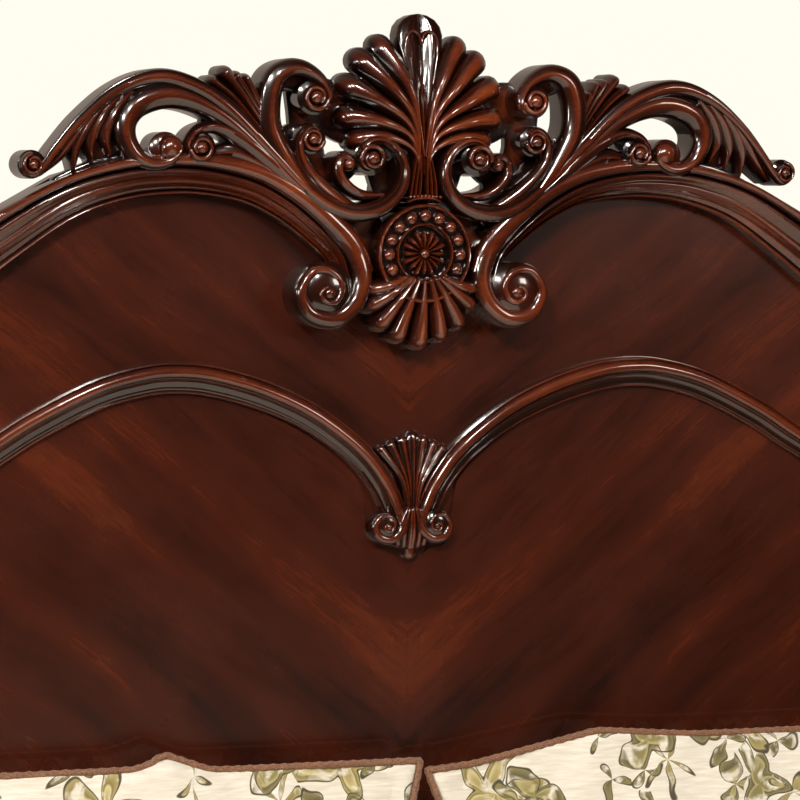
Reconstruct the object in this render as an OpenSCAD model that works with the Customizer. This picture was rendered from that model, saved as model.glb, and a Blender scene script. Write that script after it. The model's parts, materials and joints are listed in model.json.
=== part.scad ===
// Sleigh bed with a carved crest. Millimetres, +Z up, headboard at +Y.
// The origin is on the floor, under the middle of the bed.

/* [Mattress] */
// Mattress width
mattress_w = 1530; // [1350:10:1980]
// Mattress length
mattress_l = 2030; // [1900:10:2130]
// Mattress thickness
mattress_h = 290; // [180:5:340]
// Radius of the mattress corners, seen from above
mattress_r = 70; // [30:5:120]
// Gap between the mattress and each side rail
side_gap = 12; // [8:1:25]
// Gap between the mattress and each end panel
end_gap = 10; // [5:1:25]

/* [Posts] */
// Width of each post, across the bed
post_w = 80; // [60:2:110]
// Gap between the mattress side and the post's inner face
post_gap = 5; // [3:1:20]
// Distance by which a post's face stands inside the panel's face
post_reveal = 18; // [12:1:30]
// Height of the centre of the roll on each head post
head_roll_z = 1380; // [1300:10:1450]
// Height of the centre of the roll on each foot post
foot_roll_z = 840; // [760:10:920]
// Radius of the roll at the top of a post
roll_r = 65; // [50:1:75]
// Distance from a post's face to the centre of its roll
roll_reach = 125; // [110:1:150]
// Radius of the turned button on the end of a roll
button_r = 46; // [30:1:50]
// Thickness of the button
button_t = 10; // [6:1:16]
// Depth of a head post at its foot
head_post_d = 110; // [100:2:130]
// Depth of a foot post at its foot
foot_post_d = 100; // [90:2:120]

/* [Feet] */
// Height of the turned feet
foot_h = 110; // [80:5:140]
// Largest radius of the turned feet
foot_r = 47; // [38:1:54]
// Radius of the dowel between foot and post
dowel_r = 12; // [8:1:15]
// Length of the dowel above the foot
dowel_l = 45; // [30:5:70]

/* [Panels] */
// Thickness of the panel cores
panel_t = 22; // [16:1:28]
// Thickness of the veneer leaves
veneer_t = 3; // [2:0.5:4]
// Depth of the grooves that hold the panels
groove_d = 12; // [8:1:16]
// Clearance round a panel in its groove
groove_gap = 0.3; // [0.2:0.1:0.8]
// Underside of the bottom rails
bottom_rail_z = 180; // [150:5:220]
// Height of the bottom rails
bottom_rail_h = 120; // [90:5:140]
// Thickness of the bottom rails
bottom_rail_t = 46; // [40:1:56]
// Height of each batten behind the head panel
batten_h = 70; // [50:5:100]
// Thickness of the battens
batten_t = 24; // [18:1:30]

/* [Crest] */
// Height of the centre of the medallion
crest_z = 1565; // [1520:5:1620]
// Depth of the pierced crest carvings
crest_d = 48; // [40:1:56]
// Depth of the crown moulding
crown_d = 42; // [34:1:50]
// Depth of the arch beads
bead_d = 14; // [10:1:20]
// Width of the arch beads
bead_w = 30; // [24:1:36]

/* [Side rails] */
// Thickness of a side rail
rail_t = 30; // [25:1:40]
// Height of a side rail
rail_h = 240; // [200:5:280]
// Underside of the side rails
rail_z = 195; // [170:5:230]
// Height of the cap moulding on a side rail
cap_h = 22; // [16:1:30]
// Distance that the cap moulding stands out
cap_out = 12; // [6:1:18]
// Height of the base moulding
base_h = 34; // [24:1:50]
// Section of the square ledgers
ledger_s = 30; // [24:1:40]
// Top of the ledgers
ledger_z = 280; // [260:5:320]

/* [Slats] */
// Number of slats, an odd number
slat_n = 5; // [5:2:7]
// Width of a slat
slat_w = 90; // [70:5:110]
// Thickness of a slat
slat_t = 20; // [16:1:25]
// Distance between the centres of neighbouring slats
slat_pitch = 400; // [280:10:420]
// Gap between a slat's end and the rail
slat_gap = 2; // [1:0.5:5]

/* [Support legs] */
// Section of the square centre legs
leg_s = 60; // [45:5:80]
// Underside of the centre legs
leg_z = 40; // [34:1:60]
// Radius of the threaded hole and the levelling screw's bore
screw_r = 4; // [3:0.5:6]
// Radial running clearance of the levelling screw
screw_gap = 0.05; // [0.02:0.01:0.1]
// Radius of the floor pad
pad_r = 20; // [15:1:28]
// Thickness of the floor pad
pad_h = 10; // [8:1:14]
// Distance that the pad can be screwed up
level_travel = 12; // [6:1:16]

/* [Hardware] */
// Thickness of the steel bed plates
plate_t = 3; // [2:0.5:4]
// Height of the bed plates
plate_h = 140; // [110:5:170]
// Width of the bed plates
plate_w = 24; // [20:1:28]
// Thickness of the hooks
hook_t = 3; // [2:0.5:4]
// Height of a hook's root
hook_h = 22; // [16:1:30]
// Distance that a hook drops behind its slot
hook_drop = 12; // [8:1:16]
// Clearance of a hook in its slot
hook_gap = 0.5; // [0.3:0.1:1]
// Radius of a wood screw's head
head_r = 4; // [3:0.5:5]
// Radius of a wood screw's shank
shank_r = 2; // [1.5:0.5:2.5]

/* [Pillows] */
// Width of a pillow
pillow_w = 720; // [600:10:760]
// Height of a pillow along its slope
pillow_h = 490; // [400:10:520]
// Thickness of a pillow at its middle
pillow_t = 150; // [110:5:180]
// Angle at which the pillows lean back
pillow_lean = 14; // [8:1:20]
// Clearance between the bedding and what it lies on
soft_gap = 0.5; // [0.3:0.1:2]

/* [Hidden] */
$fn = 48;
// Pieces of an outline are joined by growing them this much, and neighbours are kept this far apart
sliver = 0.01;

post_in = mattress_w/2 + post_gap;
post_out = post_in + post_w;
panel_y = mattress_l/2 + end_gap + veneer_t;
post_y = panel_y - post_reveal;
rail_in = mattress_w/2 + side_gap;
rail_out = rail_in + rail_t;
rail_top = rail_z + rail_h;
roll_y = post_y + roll_reach;
deck_z = ledger_z + slat_t;
mattress_top = deck_z + soft_gap + mattress_h;
slat_ids = [for (i = [1:slat_n]) i];
slat_last = (slat_n + 1)/2;
// The outer slats stay clear of the posts on a short bed
slat_step = min(slat_pitch, 2*(panel_y - post_reveal - head_post_d - slat_w/2)/(slat_n - 1));
leg_ids = [1:3];
panel_low = bottom_rail_z + bottom_rail_h - groove_d;

// Distance from a post's face at its foot to its face at the roll
post_sweep = roll_reach - roll_r;
// Flat face that the head panel's upper part lies on, level with the head posts' faces
crest_y = post_y + post_sweep;
// How far the head panel leans back from its face at the bottom, at each height
head_lean = concat([[0, panel_low]], [for (q = [[0, 860], [0.17, 730], [0.48, 620], [0.81, 530], [0.975, 475],
    [1, 445]]) [q[0]*(crest_y - panel_y), head_roll_z - q[1]]]);
// The same for the foot panel, leaning out into the cap rail
foot_sweep = post_sweep - post_reveal + 2;
foot_lean = concat([[0, panel_low]], [for (q = [[0, 380], [0.11, 300], [0.41, 190], [0.75, 105], [1, 52]])
    [q[0]*foot_sweep, foot_roll_z - q[1]]]);
panel_top = crest_z + 155;

// Half of the crest as seen from the front: x from the middle, z from the medallion's centre
crown_turn = [-434, 22];
crown_post = [-post_in - 36, head_roll_z + 35 - crest_z];
crown_line = concat(
    [for (f = [[1, 1], [0.823, 0.96], [0.608, 0.814], [0.366, 0.523], [0.177, 0.256]])
        crown_turn + [f[0]*(crown_post[0] - crown_turn[0]), f[1]*(crown_post[1] - crown_turn[1])]],
    [crown_turn, [-369, 59], [-310, 76], [-262, 80], [-220, 77], [-175, 66], [-138, 46], [-106, 20],
        [-84, -4], [-76, -28]]);
volute_c = [-102, -42];
crown_end_c = crown_post - [0, 30];
bead_turn = [-427, -195];
bead_side = -post_in + 178;
bead_line = concat(
    [for (f = [[1, -600], [1, -480], [0.952, -395], [0.806, -325], [0.564, -268], [0.261, -222]])
        [bead_turn[0] + f[0]*(bead_side - bead_turn[0]), f[1]]],
    [bead_turn, [-389, -172], [-328, -143], [-278, -130], [-244, -128], [-210, -132], [-164, -145],
        [-120, -164], [-85, -186], [-55, -211], [-34, -238], [-22, -262], [-18, -278]]);
bead_volute_c = [-28, -285];

// ---- curves ----
// Point at t on the smooth span from b to c, between the neighbours a and d
function span_point(a, b, c, d, t) =
    0.5*(2*b + (c - a)*t + (2*a - 5*b + 4*c - d)*t*t + (3*b - a - 3*c + d)*t*t*t);
// Smooth curve through the points of p, n steps to a span
function smooth(p, n = 4) = let(k = len(p) - 1) concat(
    [for (i = [0:k - 1], j = [0:n - 1])
        span_point(p[max(i - 1, 0)], p[i], p[i + 1], p[min(i + 2, k)], j/n)],
    [p[k]]);
// Spiral about c, from radius r0 at angle a0 to radius r1 at angle a1
function curl(c, r0, r1, a0, a1, n = 14) =
    [for (i = [0:n]) c + (r0 + (r1 - r0)*i/n)*[cos(a0 + (a1 - a0)*i/n), sin(a0 + (a1 - a0)*i/n)]];
function side_of(p, i) = let(d = p[min(i + 1, len(p) - 1)] - p[max(i - 1, 0)]) [-d[1], d[0]]/norm(d);

// Value at t (0 to 1) in a list of evenly spaced values
function blend(w, t) = lookup(t*(len(w) - 1), [for (j = [0:len(w) - 1]) [j, w[j]]]);
// Flat band along the curve p: lists of its widths to the left and right, from start to end
module ribbon(p, left, right) {
    k = len(p) - 1;
    l = [for (i = [0:k]) p[i] + blend(left, i/k)*side_of(p, i)];
    r = [for (i = [0:k]) p[i] - blend(right, i/k)*side_of(p, i)];
    for (i = [0:k - 1])
        polygon([l[i], l[i + 1], r[i + 1], r[i]]);
}
module band(p, w) { ribbon(p, w/2, w/2); }
module dot(c, r) { translate(c) circle(r, $fn = 24); }

// Front-view outline made solid, from the plane y to depth d in front of it
module carved(y, d, z = crest_z) {
    translate([0, y, z]) rotate([90, 0, 0]) linear_extrude(d)
        offset(delta = -1.5*sliver) offset(delta = sliver) union() { children(); }
}
module both() { children(); mirror([1, 0, 0]) children(); }
// Side-view outline (y, z) made solid across the bed from x0 to x1
module across(x0, x1) { translate([x0, 0, 0]) rotate([90, 0, 90]) linear_extrude(x1 - x0) children(); }
// Side-view slab that follows a leaning curve, between two distances behind it
module slab(lean, y, from, to, top) {
    p = [for (q = concat(smooth(lean), [[lean[len(lean) - 1][0], top]])) q + [y, 0]];
    k = len(p) - 1;
    polygon(concat([for (q = p) q + [from, 0]], [for (i = [0:k]) p[k - i] + [to, 0]]));
}

// ---- posts ----
// Front curve of a post: each point gives a share of the sweep and a distance below the roll
function post_front(points, roll_z) = smooth([for (q = points) [q[0]*post_sweep, roll_z - q[1]]]);
// Back curve: each point gives a distance behind the post's depth and one below the roll
function post_back(points, depth, roll_z) = smooth([for (q = points) [depth + q[0], roll_z - q[1]]]);
module head_post_side() {
    front = post_front([[0, 860], [0.13, 690], [0.47, 520], [0.77, 370], [0.95, 240], [1, 130]], head_roll_z);
    back = post_back([[roll_reach - head_post_d - 5, roll_r + 14], [8, 230], [2, 420], [-2, 640], [0, 860]],
        head_post_d, head_roll_z);
    polygon(concat([[0, foot_h]], front, [[post_sweep, head_roll_z + roll_r]],
        curl([roll_reach, head_roll_z], roll_r, roll_r, 90, -92, 26), back, [[head_post_d, foot_h]]));
}
module foot_post_side() {
    front = post_front([[0, 380], [0.1, 300], [0.35, 190], [0.67, 100], [1, 0]], foot_roll_z);
    back = post_back([[roll_reach - foot_post_d - 6, roll_r + 12], [9, 160], [2, 280], [0, 410]],
        foot_post_d, foot_roll_z);
    polygon(concat([[0, foot_h]], front, curl([roll_reach, foot_roll_z], roll_r, roll_r, 172, -92, 36),
        back, [[foot_post_d, foot_h]]));
}
// Cuts that both posts of an end share: the dowel, the rail's tenon, the plate and its pocket
module post_cuts(depth) {
    translate([(post_in + post_out)/2, depth/2, foot_h - 1]) cylinder(r = dowel_r, h = dowel_l + 1);
    tenon(groove_gap);
    translate([plate_x - plate_w/2, -1, plate_z - plate_h/2]) cube([plate_w, plate_t + 1, plate_h]);
    translate([plate_x - hook_t/2 - pocket_gap, plate_t - 1, hook_zs[0] - hook_drop - pocket_gap])
        cube([hook_t + 2*pocket_gap, 1 + hook_gap + hook_lip + pocket_gap,
            hook_zs[1] - hook_zs[0] + hook_h + 2*hook_drop + 2*pocket_gap]);
    for (z = plate_screws_z)
        translate([plate_x, 0, z]) rotate([-90, 0, 0]) cylinder(r = shank_r, h = screw_l);
}
tenon_l = 18;
tenon_t = 24;
screw_l = 32;
rail_mid = post_reveal + panel_t/2;
// Bed plates, their screws and hooks
plate_x = (rail_in + rail_out)/2;
plate_z = rail_z + rail_h/2;
plate_screws_z = [plate_z - plate_h/2 + 9, plate_z + plate_h/2 - 9];
hook_margin = 17;
hook_zs = [plate_z - plate_h/2 + hook_margin + hook_drop,
    plate_z + plate_h/2 - hook_margin - hook_drop - hook_h];
hook_lip = 4;
pocket_gap = 2;
// Tenon of a bottom rail, measured from a post's face, grown by a clearance
module tenon(grow) {
    translate([post_in - 1, rail_mid - tenon_t/2 - grow, bottom_rail_z + 12 - grow])
        cube([tenon_l + 1 + grow, tenon_t + 2*grow, bottom_rail_h - 24 + 2*grow]);
}
groove_top = head_roll_z + 53;
module head_post() {
    color("#3a1810") difference() {
        translate([0, post_y, 0]) across(post_in, post_out) head_post_side();
        translate([0, post_y, 0]) post_cuts(head_post_d);
        across(post_in - 1, post_in + groove_d + groove_gap)
            slab(head_lean, panel_y, -groove_gap, panel_t + groove_gap, groove_top);
    }
}
module foot_post() {
    color("#3a1810") difference() {
        translate([0, post_y, 0]) across(post_in, post_out) foot_post_side();
        translate([0, post_y, 0]) post_cuts(foot_post_d);
        across(post_in - 1, post_in + groove_d + groove_gap)
            slab(foot_lean, panel_y, -groove_gap, panel_t + groove_gap, foot_panel_top + groove_gap);
    }
}
module head_post_right() { head_post(); }
module head_post_left() { mirror([1, 0, 0]) head_post(); }
module foot_post_right() { mirror([0, 1, 0]) foot_post(); }
module foot_post_left() { mirror([1, 0, 0]) foot_post_right(); }

module button(z) {
    translate([post_out, roll_y, z]) rotate([0, 90, 0]) rotate_extrude($fn = 72)
        polygon([[0, 0], [button_r, 0], [button_r - 2, button_t - 4], [button_r - 6, button_t - 1],
            [button_r - 12, button_t - 1], [button_r - 15, button_t - 4], [14, button_t - 4],
            [9, button_t], [0, button_t]]);
}
module head_scroll_buttons() { color("#4a2014") both() button(head_roll_z); }
module foot_scroll_buttons() { color("#4a2014") mirror([0, 1, 0]) both() button(foot_roll_z); }

// Turned foot with the dowel that holds it under a post
module turned_foot(depth) {
    edge = [for (p = smooth([[0.57, 0], [0.68, 0.05], [0.89, 0.2], [1, 0.38], [0.91, 0.55], [0.68, 0.67],
        [0.62, 0.75], [0.74, 0.81], [0.77, 0.87], [0.81, 0.95], [0.81, 1]], 3)) [p[0]*foot_r, p[1]*foot_h]];
    translate([(post_in + post_out)/2, post_y + depth/2, 0]) {
        rotate_extrude($fn = 48) polygon(concat([[0, 0]], edge, [[0, foot_h]]));
        translate([0, 0, foot_h - 1]) cylinder(r = dowel_r, h = dowel_l);
    }
}
module head_feet() { color("#3a1810") both() turned_foot(head_post_d); }
module foot_feet() { color("#3a1810") mirror([0, 1, 0]) both() turned_foot(foot_post_d); }

// ---- panels and their rails ----
foot_panel_top = foot_roll_z - 40;
batten_zs = [head_roll_z - 370, head_roll_z - 120];
// Half of the head panel's outline, from the middle of its top edge to its corner
head_edge = concat([[0, 30], [-60, 30], [-96, 10]],
    [for (i = [len(crown_line) - 4:-1:0]) crown_line[i] + [0, 12]],
    [[-post_in - groove_d, crown_line[0][1] + 12]]);
module head_outline() {
    both() polygon(concat([for (p = head_edge) p[0] < -post_in - groove_d ? [-post_in - groove_d, p[1]] : p],
        [[-post_in - groove_d, panel_low - crest_z], [0, panel_low - crest_z]]));
}
module head_panel() {
    color("#2c120b") intersection() {
        across(-post_in - groove_d, post_in + groove_d) slab(head_lean, panel_y, 0, panel_t, panel_top);
        translate([0, crest_y + 100, crest_z]) rotate([90, 0, 0]) linear_extrude(300)
            offset(delta = -sliver) head_outline();
    }
}
veneer_low = bottom_rail_z + bottom_rail_h + 6;
// Veneer leaf inside the left arch, down to the bottom rail
module veneer() {
    inner = smooth([for (p = bead_line) p], 3);
    k = len(inner) - 1;
    edge = [for (i = [0:k]) inner[i] - (bead_w/2 + 0.2)*side_of(inner, i)];
    color("#4a1d10") intersection() {
        across(-post_in, 0) slab(head_lean, panel_y, -veneer_t, 0, panel_top);
        translate([0, crest_y, crest_z]) rotate([90, 0, 0]) linear_extrude(100)
            polygon(concat([[edge[0][0], veneer_low - crest_z]], [for (p = edge) if (p[0] < -52) p],
                [[-47, -270], [-46.5, -292], [-38, -304], [-22, -306], [-10, -319], [-0.1, -331],
                    [-0.1, veneer_low - crest_z]]));
    }
}
module veneer_left() { veneer(); }
module veneer_right() { mirror([1, 0, 0]) veneer(); }

// Bottom rail of one end, with its tenons and the groove for the panel
module bottom_rail() {
    color("#3a1810") difference() {
        union() {
            translate([-post_in, post_y + rail_mid - bottom_rail_t/2, bottom_rail_z])
                cube([2*post_in, bottom_rail_t, bottom_rail_h]);
            both() translate([0, post_y, 0]) tenon(0);
        }
        translate([-post_out, panel_y - groove_gap, panel_low - groove_gap])
            cube([2*post_out, panel_t + 2*groove_gap, bottom_rail_h]);
    }
}
module head_bottom_rail() { bottom_rail(); }
module foot_bottom_rail() { mirror([0, 1, 0]) bottom_rail(); }
module head_battens() {
    color("#8a6a48") for (z = batten_zs)
        translate([-post_in, crest_y + panel_t, z]) cube([2*post_in, batten_t, batten_h]);
}
module foot_panel() {
    color("#2c120b") mirror([0, 1, 0]) across(-post_in - groove_d, post_in + groove_d)
        slab(foot_lean, panel_y, 0, panel_t, foot_panel_top);
}
cap_roll_r = roll_r - 6;
// Rolled cap rail: a log with a neck that takes the top of the panel
module foot_cap_rail() {
    neck = post_reveal + foot_sweep - 18;
    color("#3a1810") mirror([0, 1, 0]) difference() {
        translate([0, post_y, 0]) across(-post_in, post_in)
            polygon(concat([[neck, foot_roll_z - 74]],
                curl([roll_reach, foot_roll_z], cap_roll_r, cap_roll_r, 180, -104, 40),
                [[neck + panel_t + 36, foot_roll_z - 66], [neck + panel_t + 32, foot_roll_z - 74]]));
        across(-post_in - 1, post_in + 1)
            slab(foot_lean, panel_y, -groove_gap, panel_t + groove_gap, foot_panel_top + groove_gap);
    }
}

// ---- mouldings and carvings of the headboard, drawn for the left half ----
crown_path = smooth(crown_line);
// Width of the fascia outside the dark groove, from the post to the volute
crown_outer = [20, 22, 22, 17, 8, 11, 16, 18];
module crown_outline() {
    ribbon(crown_path, crown_outer, [30, 46, 22]);
    dot(volute_c, 38);
    dot(crown_end_c, 33);
}
module crown_rail() {
    color("#4a1d10") difference() {
        carved(crest_y, crown_d) crown_outline();
        // the long cove between the outer fascia and the inner bead
        translate([0, -crown_d/2, 0]) carved(crest_y, crown_d) difference() {
            ribbon(crown_path, [-5, -5, -4], [20, 34, 14]);
            dot(volute_c, 40);
            dot(crown_end_c, 36);
        }
    }
}
module crown_rail_left() { crown_rail(); }
module crown_rail_right() { mirror([1, 0, 0]) crown_rail(); }

backing_t = 16;
module crest_backing() {
    color("#2c120b") translate([0, backing_t, 0]) carved(crest_y, backing_t) both()
        polygon([[-sliver, 43], [44, 43], [40, 75], [54, 120], [60, 160], [34, 188], [-sliver, 210]]);
}

// Band of an arch bead, curling outward where the two arches meet
module bead_outline() {
    band(smooth(bead_line), bead_w*[1, 1, 1, 1, 0.6]);
    dot(bead_volute_c, 16);
    dot(bead_line[0] - [14, 2], 24);
}
module pendant_outline() {
    both() {
        for (tip = [[-34, -199], [-22, -191], [-8, -185]])
            band([[0, -262], tip*0.6 + [0, -106], tip], [4, 9, 13]);
        band([[0, -256], [-3, -285], [0, -316]], [10, 12, 4]);
    }
}
module arch_bead() {
    color("#5a2412") carved(crest_y, bead_d) difference() {
        bead_outline();
        pendant_outline();
    }
}
module arch_bead_left() { arch_bead(); }
module arch_bead_right() { mirror([1, 0, 0]) arch_bead(); }
module bead_pendant() { color("#5a2412") carved(crest_y, bead_d) pendant_outline(); }

// C-scroll beside the shell, with the hook and the small upright scroll that branch from its foot
module c_scroll_outline() {
    band(smooth([[-146, 82], [-124, 61], [-105, 47], [-83, 38], [-62, 37], [-42, 44], [-28, 58], [-21, 76],
        [-25, 94], [-37, 106], [-52, 110], [-65, 104], [-71, 93], [-68, 84]]), [6, 13, 7]);
    dot([-57, 88], 10);
    band(smooth([[-44, 52], [-66, 52], [-82, 61], [-91, 74], [-92, 87], [-82, 93]]), [5, 9, 7]);
    dot([-79, 88], 6);
    band(smooth([[-70, 41], [-97, 52], [-117, 69], [-130, 88], [-134, 106], [-129, 121], [-118, 124]]),
        [6, 13, 8]);
    dot([-120, 112], 11);
}
module c_scroll() {
    color("#5a2412") carved(crest_y, crest_d) difference() {
        c_scroll_outline();
        crown_outline();
    }
}
module c_scroll_left() { c_scroll(); }
module c_scroll_right() { mirror([1, 0, 0]) c_scroll(); }

// Pierced side scroll: rim over the arch, inner curls, leaf blades, leaf fan and two upright scrolls
module side_scroll_outline() {
    band(smooth([[-120, 54], [-163, 97], [-211, 142], [-252, 163], [-285, 166], [-320, 152], [-352, 126],
        [-377, 97], [-394, 76]]), [8, 13, 10]);
    dot([-402, 80], 11);
    band(smooth([[-124, 54], [-171, 97], [-223, 139], [-266, 154], [-298, 145], [-313, 120], [-305, 96],
        [-284, 86], [-264, 92]]), [8, 18, 10]);
    dot([-264, 103], 10);
    band(smooth([[-126, 52], [-171, 93], [-212, 117], [-238, 113], [-246, 98], [-238, 88]]), [8, 16, 8]);
    dot([-233, 99], 9);
    for (leaf = [[[-301, 150], [-330, 122], [-322, 88]], [[-312, 148], [-344, 112], [-341, 86]],
            [[-322, 142], [-352, 108], [-356, 76]], [[-334, 134], [-366, 92], [-392, 68]]])
        band(smooth(leaf), [12, 17, 5]);
    for (tip = [[-231, 163], [-222, 172], [-210, 177], [-197, 172], [-185, 170]])
        band(smooth([[-150, 84], (tip + [-166, 118])/2 + [4, 0], tip]), [8, 11, 9]);
    band(smooth([[-118, 54], [-150, 90], [-168, 118], [-174, 145], [-167, 172], [-150, 184], [-131, 185],
        [-113, 176], [-103, 160], [-103, 145], [-113, 139]]), [8, 14, 8]);
    dot([-116, 147], 12);
}
module side_scroll() {
    color("#5a2412") carved(crest_y, crest_d) difference() {
        side_scroll_outline();
        c_scroll_outline();
        crown_outline();
    }
}
module crest_scroll_left() { side_scroll(); }
module crest_scroll_right() { mirror([1, 0, 0]) side_scroll(); }

medallion_c = [0, -4];
medallion_r = 50;
// Shell of rounded lobes that spread from a narrow neck
module shell_outline() {
    both() {
        for (lobe = [[[-9, 150], [-26, 190], 25], [[-20, 140], [-47, 175], 26], [[-32, 127], [-64, 151], 26],
                [[-34, 112], [-66, 127], 25], [[-30, 100], [-60, 112], 22]])
            band(smooth([[-1, 84], lobe[0], lobe[1]]), [8, 20, lobe[2]]);
        for (lobe = [[-28, 192, 12], [-50, 178, 12], [-67, 154, 12], [-69, 128, 12], [-63, 113, 10]])
            dot([lobe[0], lobe[1]], lobe[2]);
        polygon([[sliver, 40], [-18, 44], [-14, 56], [-10, 80], [-14, 110], [sliver, 150]]);
        band([[sliver, 90], [-4, 170], [-10, 205]], [20, 30, 40]);
    }
    dot([0, 205], 30);
}
module crest_shell() {
    color("#5a2412") carved(crest_y, crest_d - 8) difference() {
        shell_outline();
        both() {
            c_scroll_outline();
            side_scroll_outline();
            crown_outline();
        }
        both() dot([-52, 84], 26);
        dot(medallion_c, medallion_r);
    }
}
module medallion() {
    color("#5a2412") carved(crest_y, crest_d - 2) difference() {
        dot(medallion_c, medallion_r);
        both() {
            c_scroll_outline();
            crown_outline();
        }
    }
}
module husk_drop() {
    color("#5a2412") carved(crest_y, crest_d - 12) difference() {
        both() for (tip = [[-52, -41], [-53, -59], [-40, -78], [-20, -90], [0, -96]])
            band([[0, -24], tip*0.55 + [0, -10], tip], [10, 17, 14]);
        dot(medallion_c, medallion_r);
        both() crown_outline();
    }
}

// ---- footboard carving ----
// Half of the bead: x from the middle, z from the top of the foot panel
foot_bead_side = -post_in + 80;
foot_bead_low = bottom_rail_z + bottom_rail_h + 50 - foot_panel_top;
foot_bead_line = [[foot_bead_side, foot_bead_low], [foot_bead_side, -240], [foot_bead_side + 26, -160],
    [foot_bead_side + 90, -110], [foot_bead_side + 200, -88], [-350, -84], [-220, -96], [-120, -128],
    [-48, -168]];
foot_bead_w = bead_w - 4;
foot_bead_t = 12;
module on_foot_panel(thick) {
    mirror([0, 1, 0]) intersection() {
        across(-post_in, post_in) slab(foot_lean, panel_y, panel_t, panel_t + thick, foot_panel_top);
        translate([0, panel_y + 300, foot_panel_top]) rotate([90, 0, 0]) linear_extrude(400)
            offset(delta = -sliver) union() { children(); }
    }
}
module cartouche_outline() {
    both() {
        for (tip = [[-18, -76], [-44, -96], [-58, -128], [-50, -160], [-34, -192], [-12, -210]])
            band([[0, -150], tip], [16, 20, 22]);
        dot([-46, -172], 15);
    }
}
module foot_bead() {
    color("#5a2412") on_foot_panel(foot_bead_t) difference() {
        both() {
            band(smooth(foot_bead_line), [foot_bead_w, foot_bead_w, 18]);
            translate([foot_bead_side - foot_bead_w/2, foot_bead_low - 14])
                square([foot_bead_w/2 - foot_bead_side, foot_bead_w]);
        }
        cartouche_outline();
    }
}
module foot_cartouche() { color("#5a2412") on_foot_panel(foot_bead_t + 8) cartouche_outline(); }

// ---- side rails ----
module side_rail() {
    color("#3a1810") difference() {
        translate([rail_in, -post_y, rail_z]) cube([rail_t, 2*post_y, rail_h]);
        for (s = [0, 1]) mirror([0, s, 0]) translate([plate_x, post_y, 0]) {
            translate([-plate_w/2, -plate_t, plate_z - plate_h/2]) cube([plate_w, plate_t + 1, plate_h]);
            for (z = plate_screws_z)
                translate([0, 0, z]) rotate([90, 0, 0]) cylinder(r = shank_r, h = screw_l);
        }
    }
}
module side_rail_right() { side_rail(); }
module side_rail_left() { mirror([1, 0, 0]) side_rail(); }
// Moulding profiles: x out from the rail's outer face, z from the moulding's foot
module rail_cap() {
    color("#4a2014") translate([rail_in, post_y, rail_top]) rotate([90, 0, 0]) linear_extrude(2*post_y)
        polygon(concat([[0, 0], [rail_t, 0]],
            smooth([[rail_t + cap_out*0.3, cap_h*0.1], [rail_t + cap_out*0.5, cap_h*0.35],
                [rail_t + cap_out, cap_h*0.55], [rail_t + cap_out*0.8, cap_h*0.9],
                [rail_t + cap_out*0.4, cap_h]], 3), [[0, cap_h]]));
}
module rail_cap_right() { rail_cap(); }
module rail_cap_left() { mirror([1, 0, 0]) rail_cap(); }
module rail_base() {
    color("#4a2014") translate([rail_out, post_y, rail_z]) rotate([90, 0, 0]) linear_extrude(2*post_y)
        polygon(concat([[0, 0], [cap_out, 0], [cap_out, base_h*0.45]],
            smooth([[cap_out*0.8, base_h*0.6], [cap_out*0.35, base_h*0.72], [cap_out*0.3, base_h]], 3),
            [[0, base_h]]));
}
module rail_base_right() { rail_base(); }
module rail_base_left() { mirror([1, 0, 0]) rail_base(); }
slat_y = [for (i = slat_ids) (i - slat_last)*slat_step];
slat_screw_x = rail_in - ledger_s/2;
module ledgers() {
    color("#a98a62") both() difference() {
        translate([rail_in - ledger_s, -post_y + 20, ledger_z - ledger_s])
            cube([ledger_s, 2*post_y - 40, ledger_s]);
        for (y = slat_y)
            translate([slat_screw_x, y, ledger_z - ledger_s + 6]) cylinder(r = shank_r, h = ledger_s);
    }
}

// ---- bed plates and screws ----
module four_corners() { both() for (s = [0, 1]) mirror([0, s, 0]) children(); }
// Countersunk wood screw, its head's face at the origin, pointing along +Y
sink_h = 2.4;
module screw(grow = 0) {
    rotate([-90, 0, 0]) {
        cylinder(r1 = head_r + grow, r2 = shank_r + grow, h = sink_h);
        cylinder(r = shank_r + grow, h = screw_l - 2);
    }
}
module post_plates() {
    color("#b8b8b4") four_corners() difference() {
        translate([plate_x - plate_w/2, post_y, plate_z - plate_h/2]) cube([plate_w, plate_t, plate_h]);
        for (z = hook_zs) translate([plate_x - hook_t/2 - hook_gap, post_y - 1, z - hook_gap])
            cube([hook_t + 2*hook_gap, plate_t + 2, hook_h + hook_drop + 2*hook_gap]);
        for (z = plate_screws_z) translate([plate_x, post_y, z]) screw();
    }
}
module rail_hooks() {
    color("#b8b8b4") four_corners() {
        difference() {
            translate([plate_x - plate_w/2, post_y - plate_t, plate_z - plate_h/2])
                cube([plate_w, plate_t, plate_h]);
            for (z = plate_screws_z) translate([plate_x, post_y, z]) mirror([0, 1, 0]) screw();
        }
        for (z = hook_zs) translate([plate_x - hook_t/2, post_y - 0.5, z]) {
            cube([hook_t, plate_t + hook_gap + hook_lip + 0.5, hook_h]);
            translate([0, plate_t + hook_gap + 0.5, -hook_drop]) cube([hook_t, hook_lip, hook_h + hook_drop]);
        }
    }
}
module plate_screws() {
    color("#8c8c88") four_corners() for (z = plate_screws_z) translate([plate_x, post_y, z]) {
        screw();
        translate([0, -sliver, 0]) mirror([0, 1, 0]) screw();
    }
}

// ---- slats, support legs and levellers ----
module slat_drill(y) {
    both() translate([slat_screw_x, y, deck_z]) rotate([-90, 0, 0]) screw();
}
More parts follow.
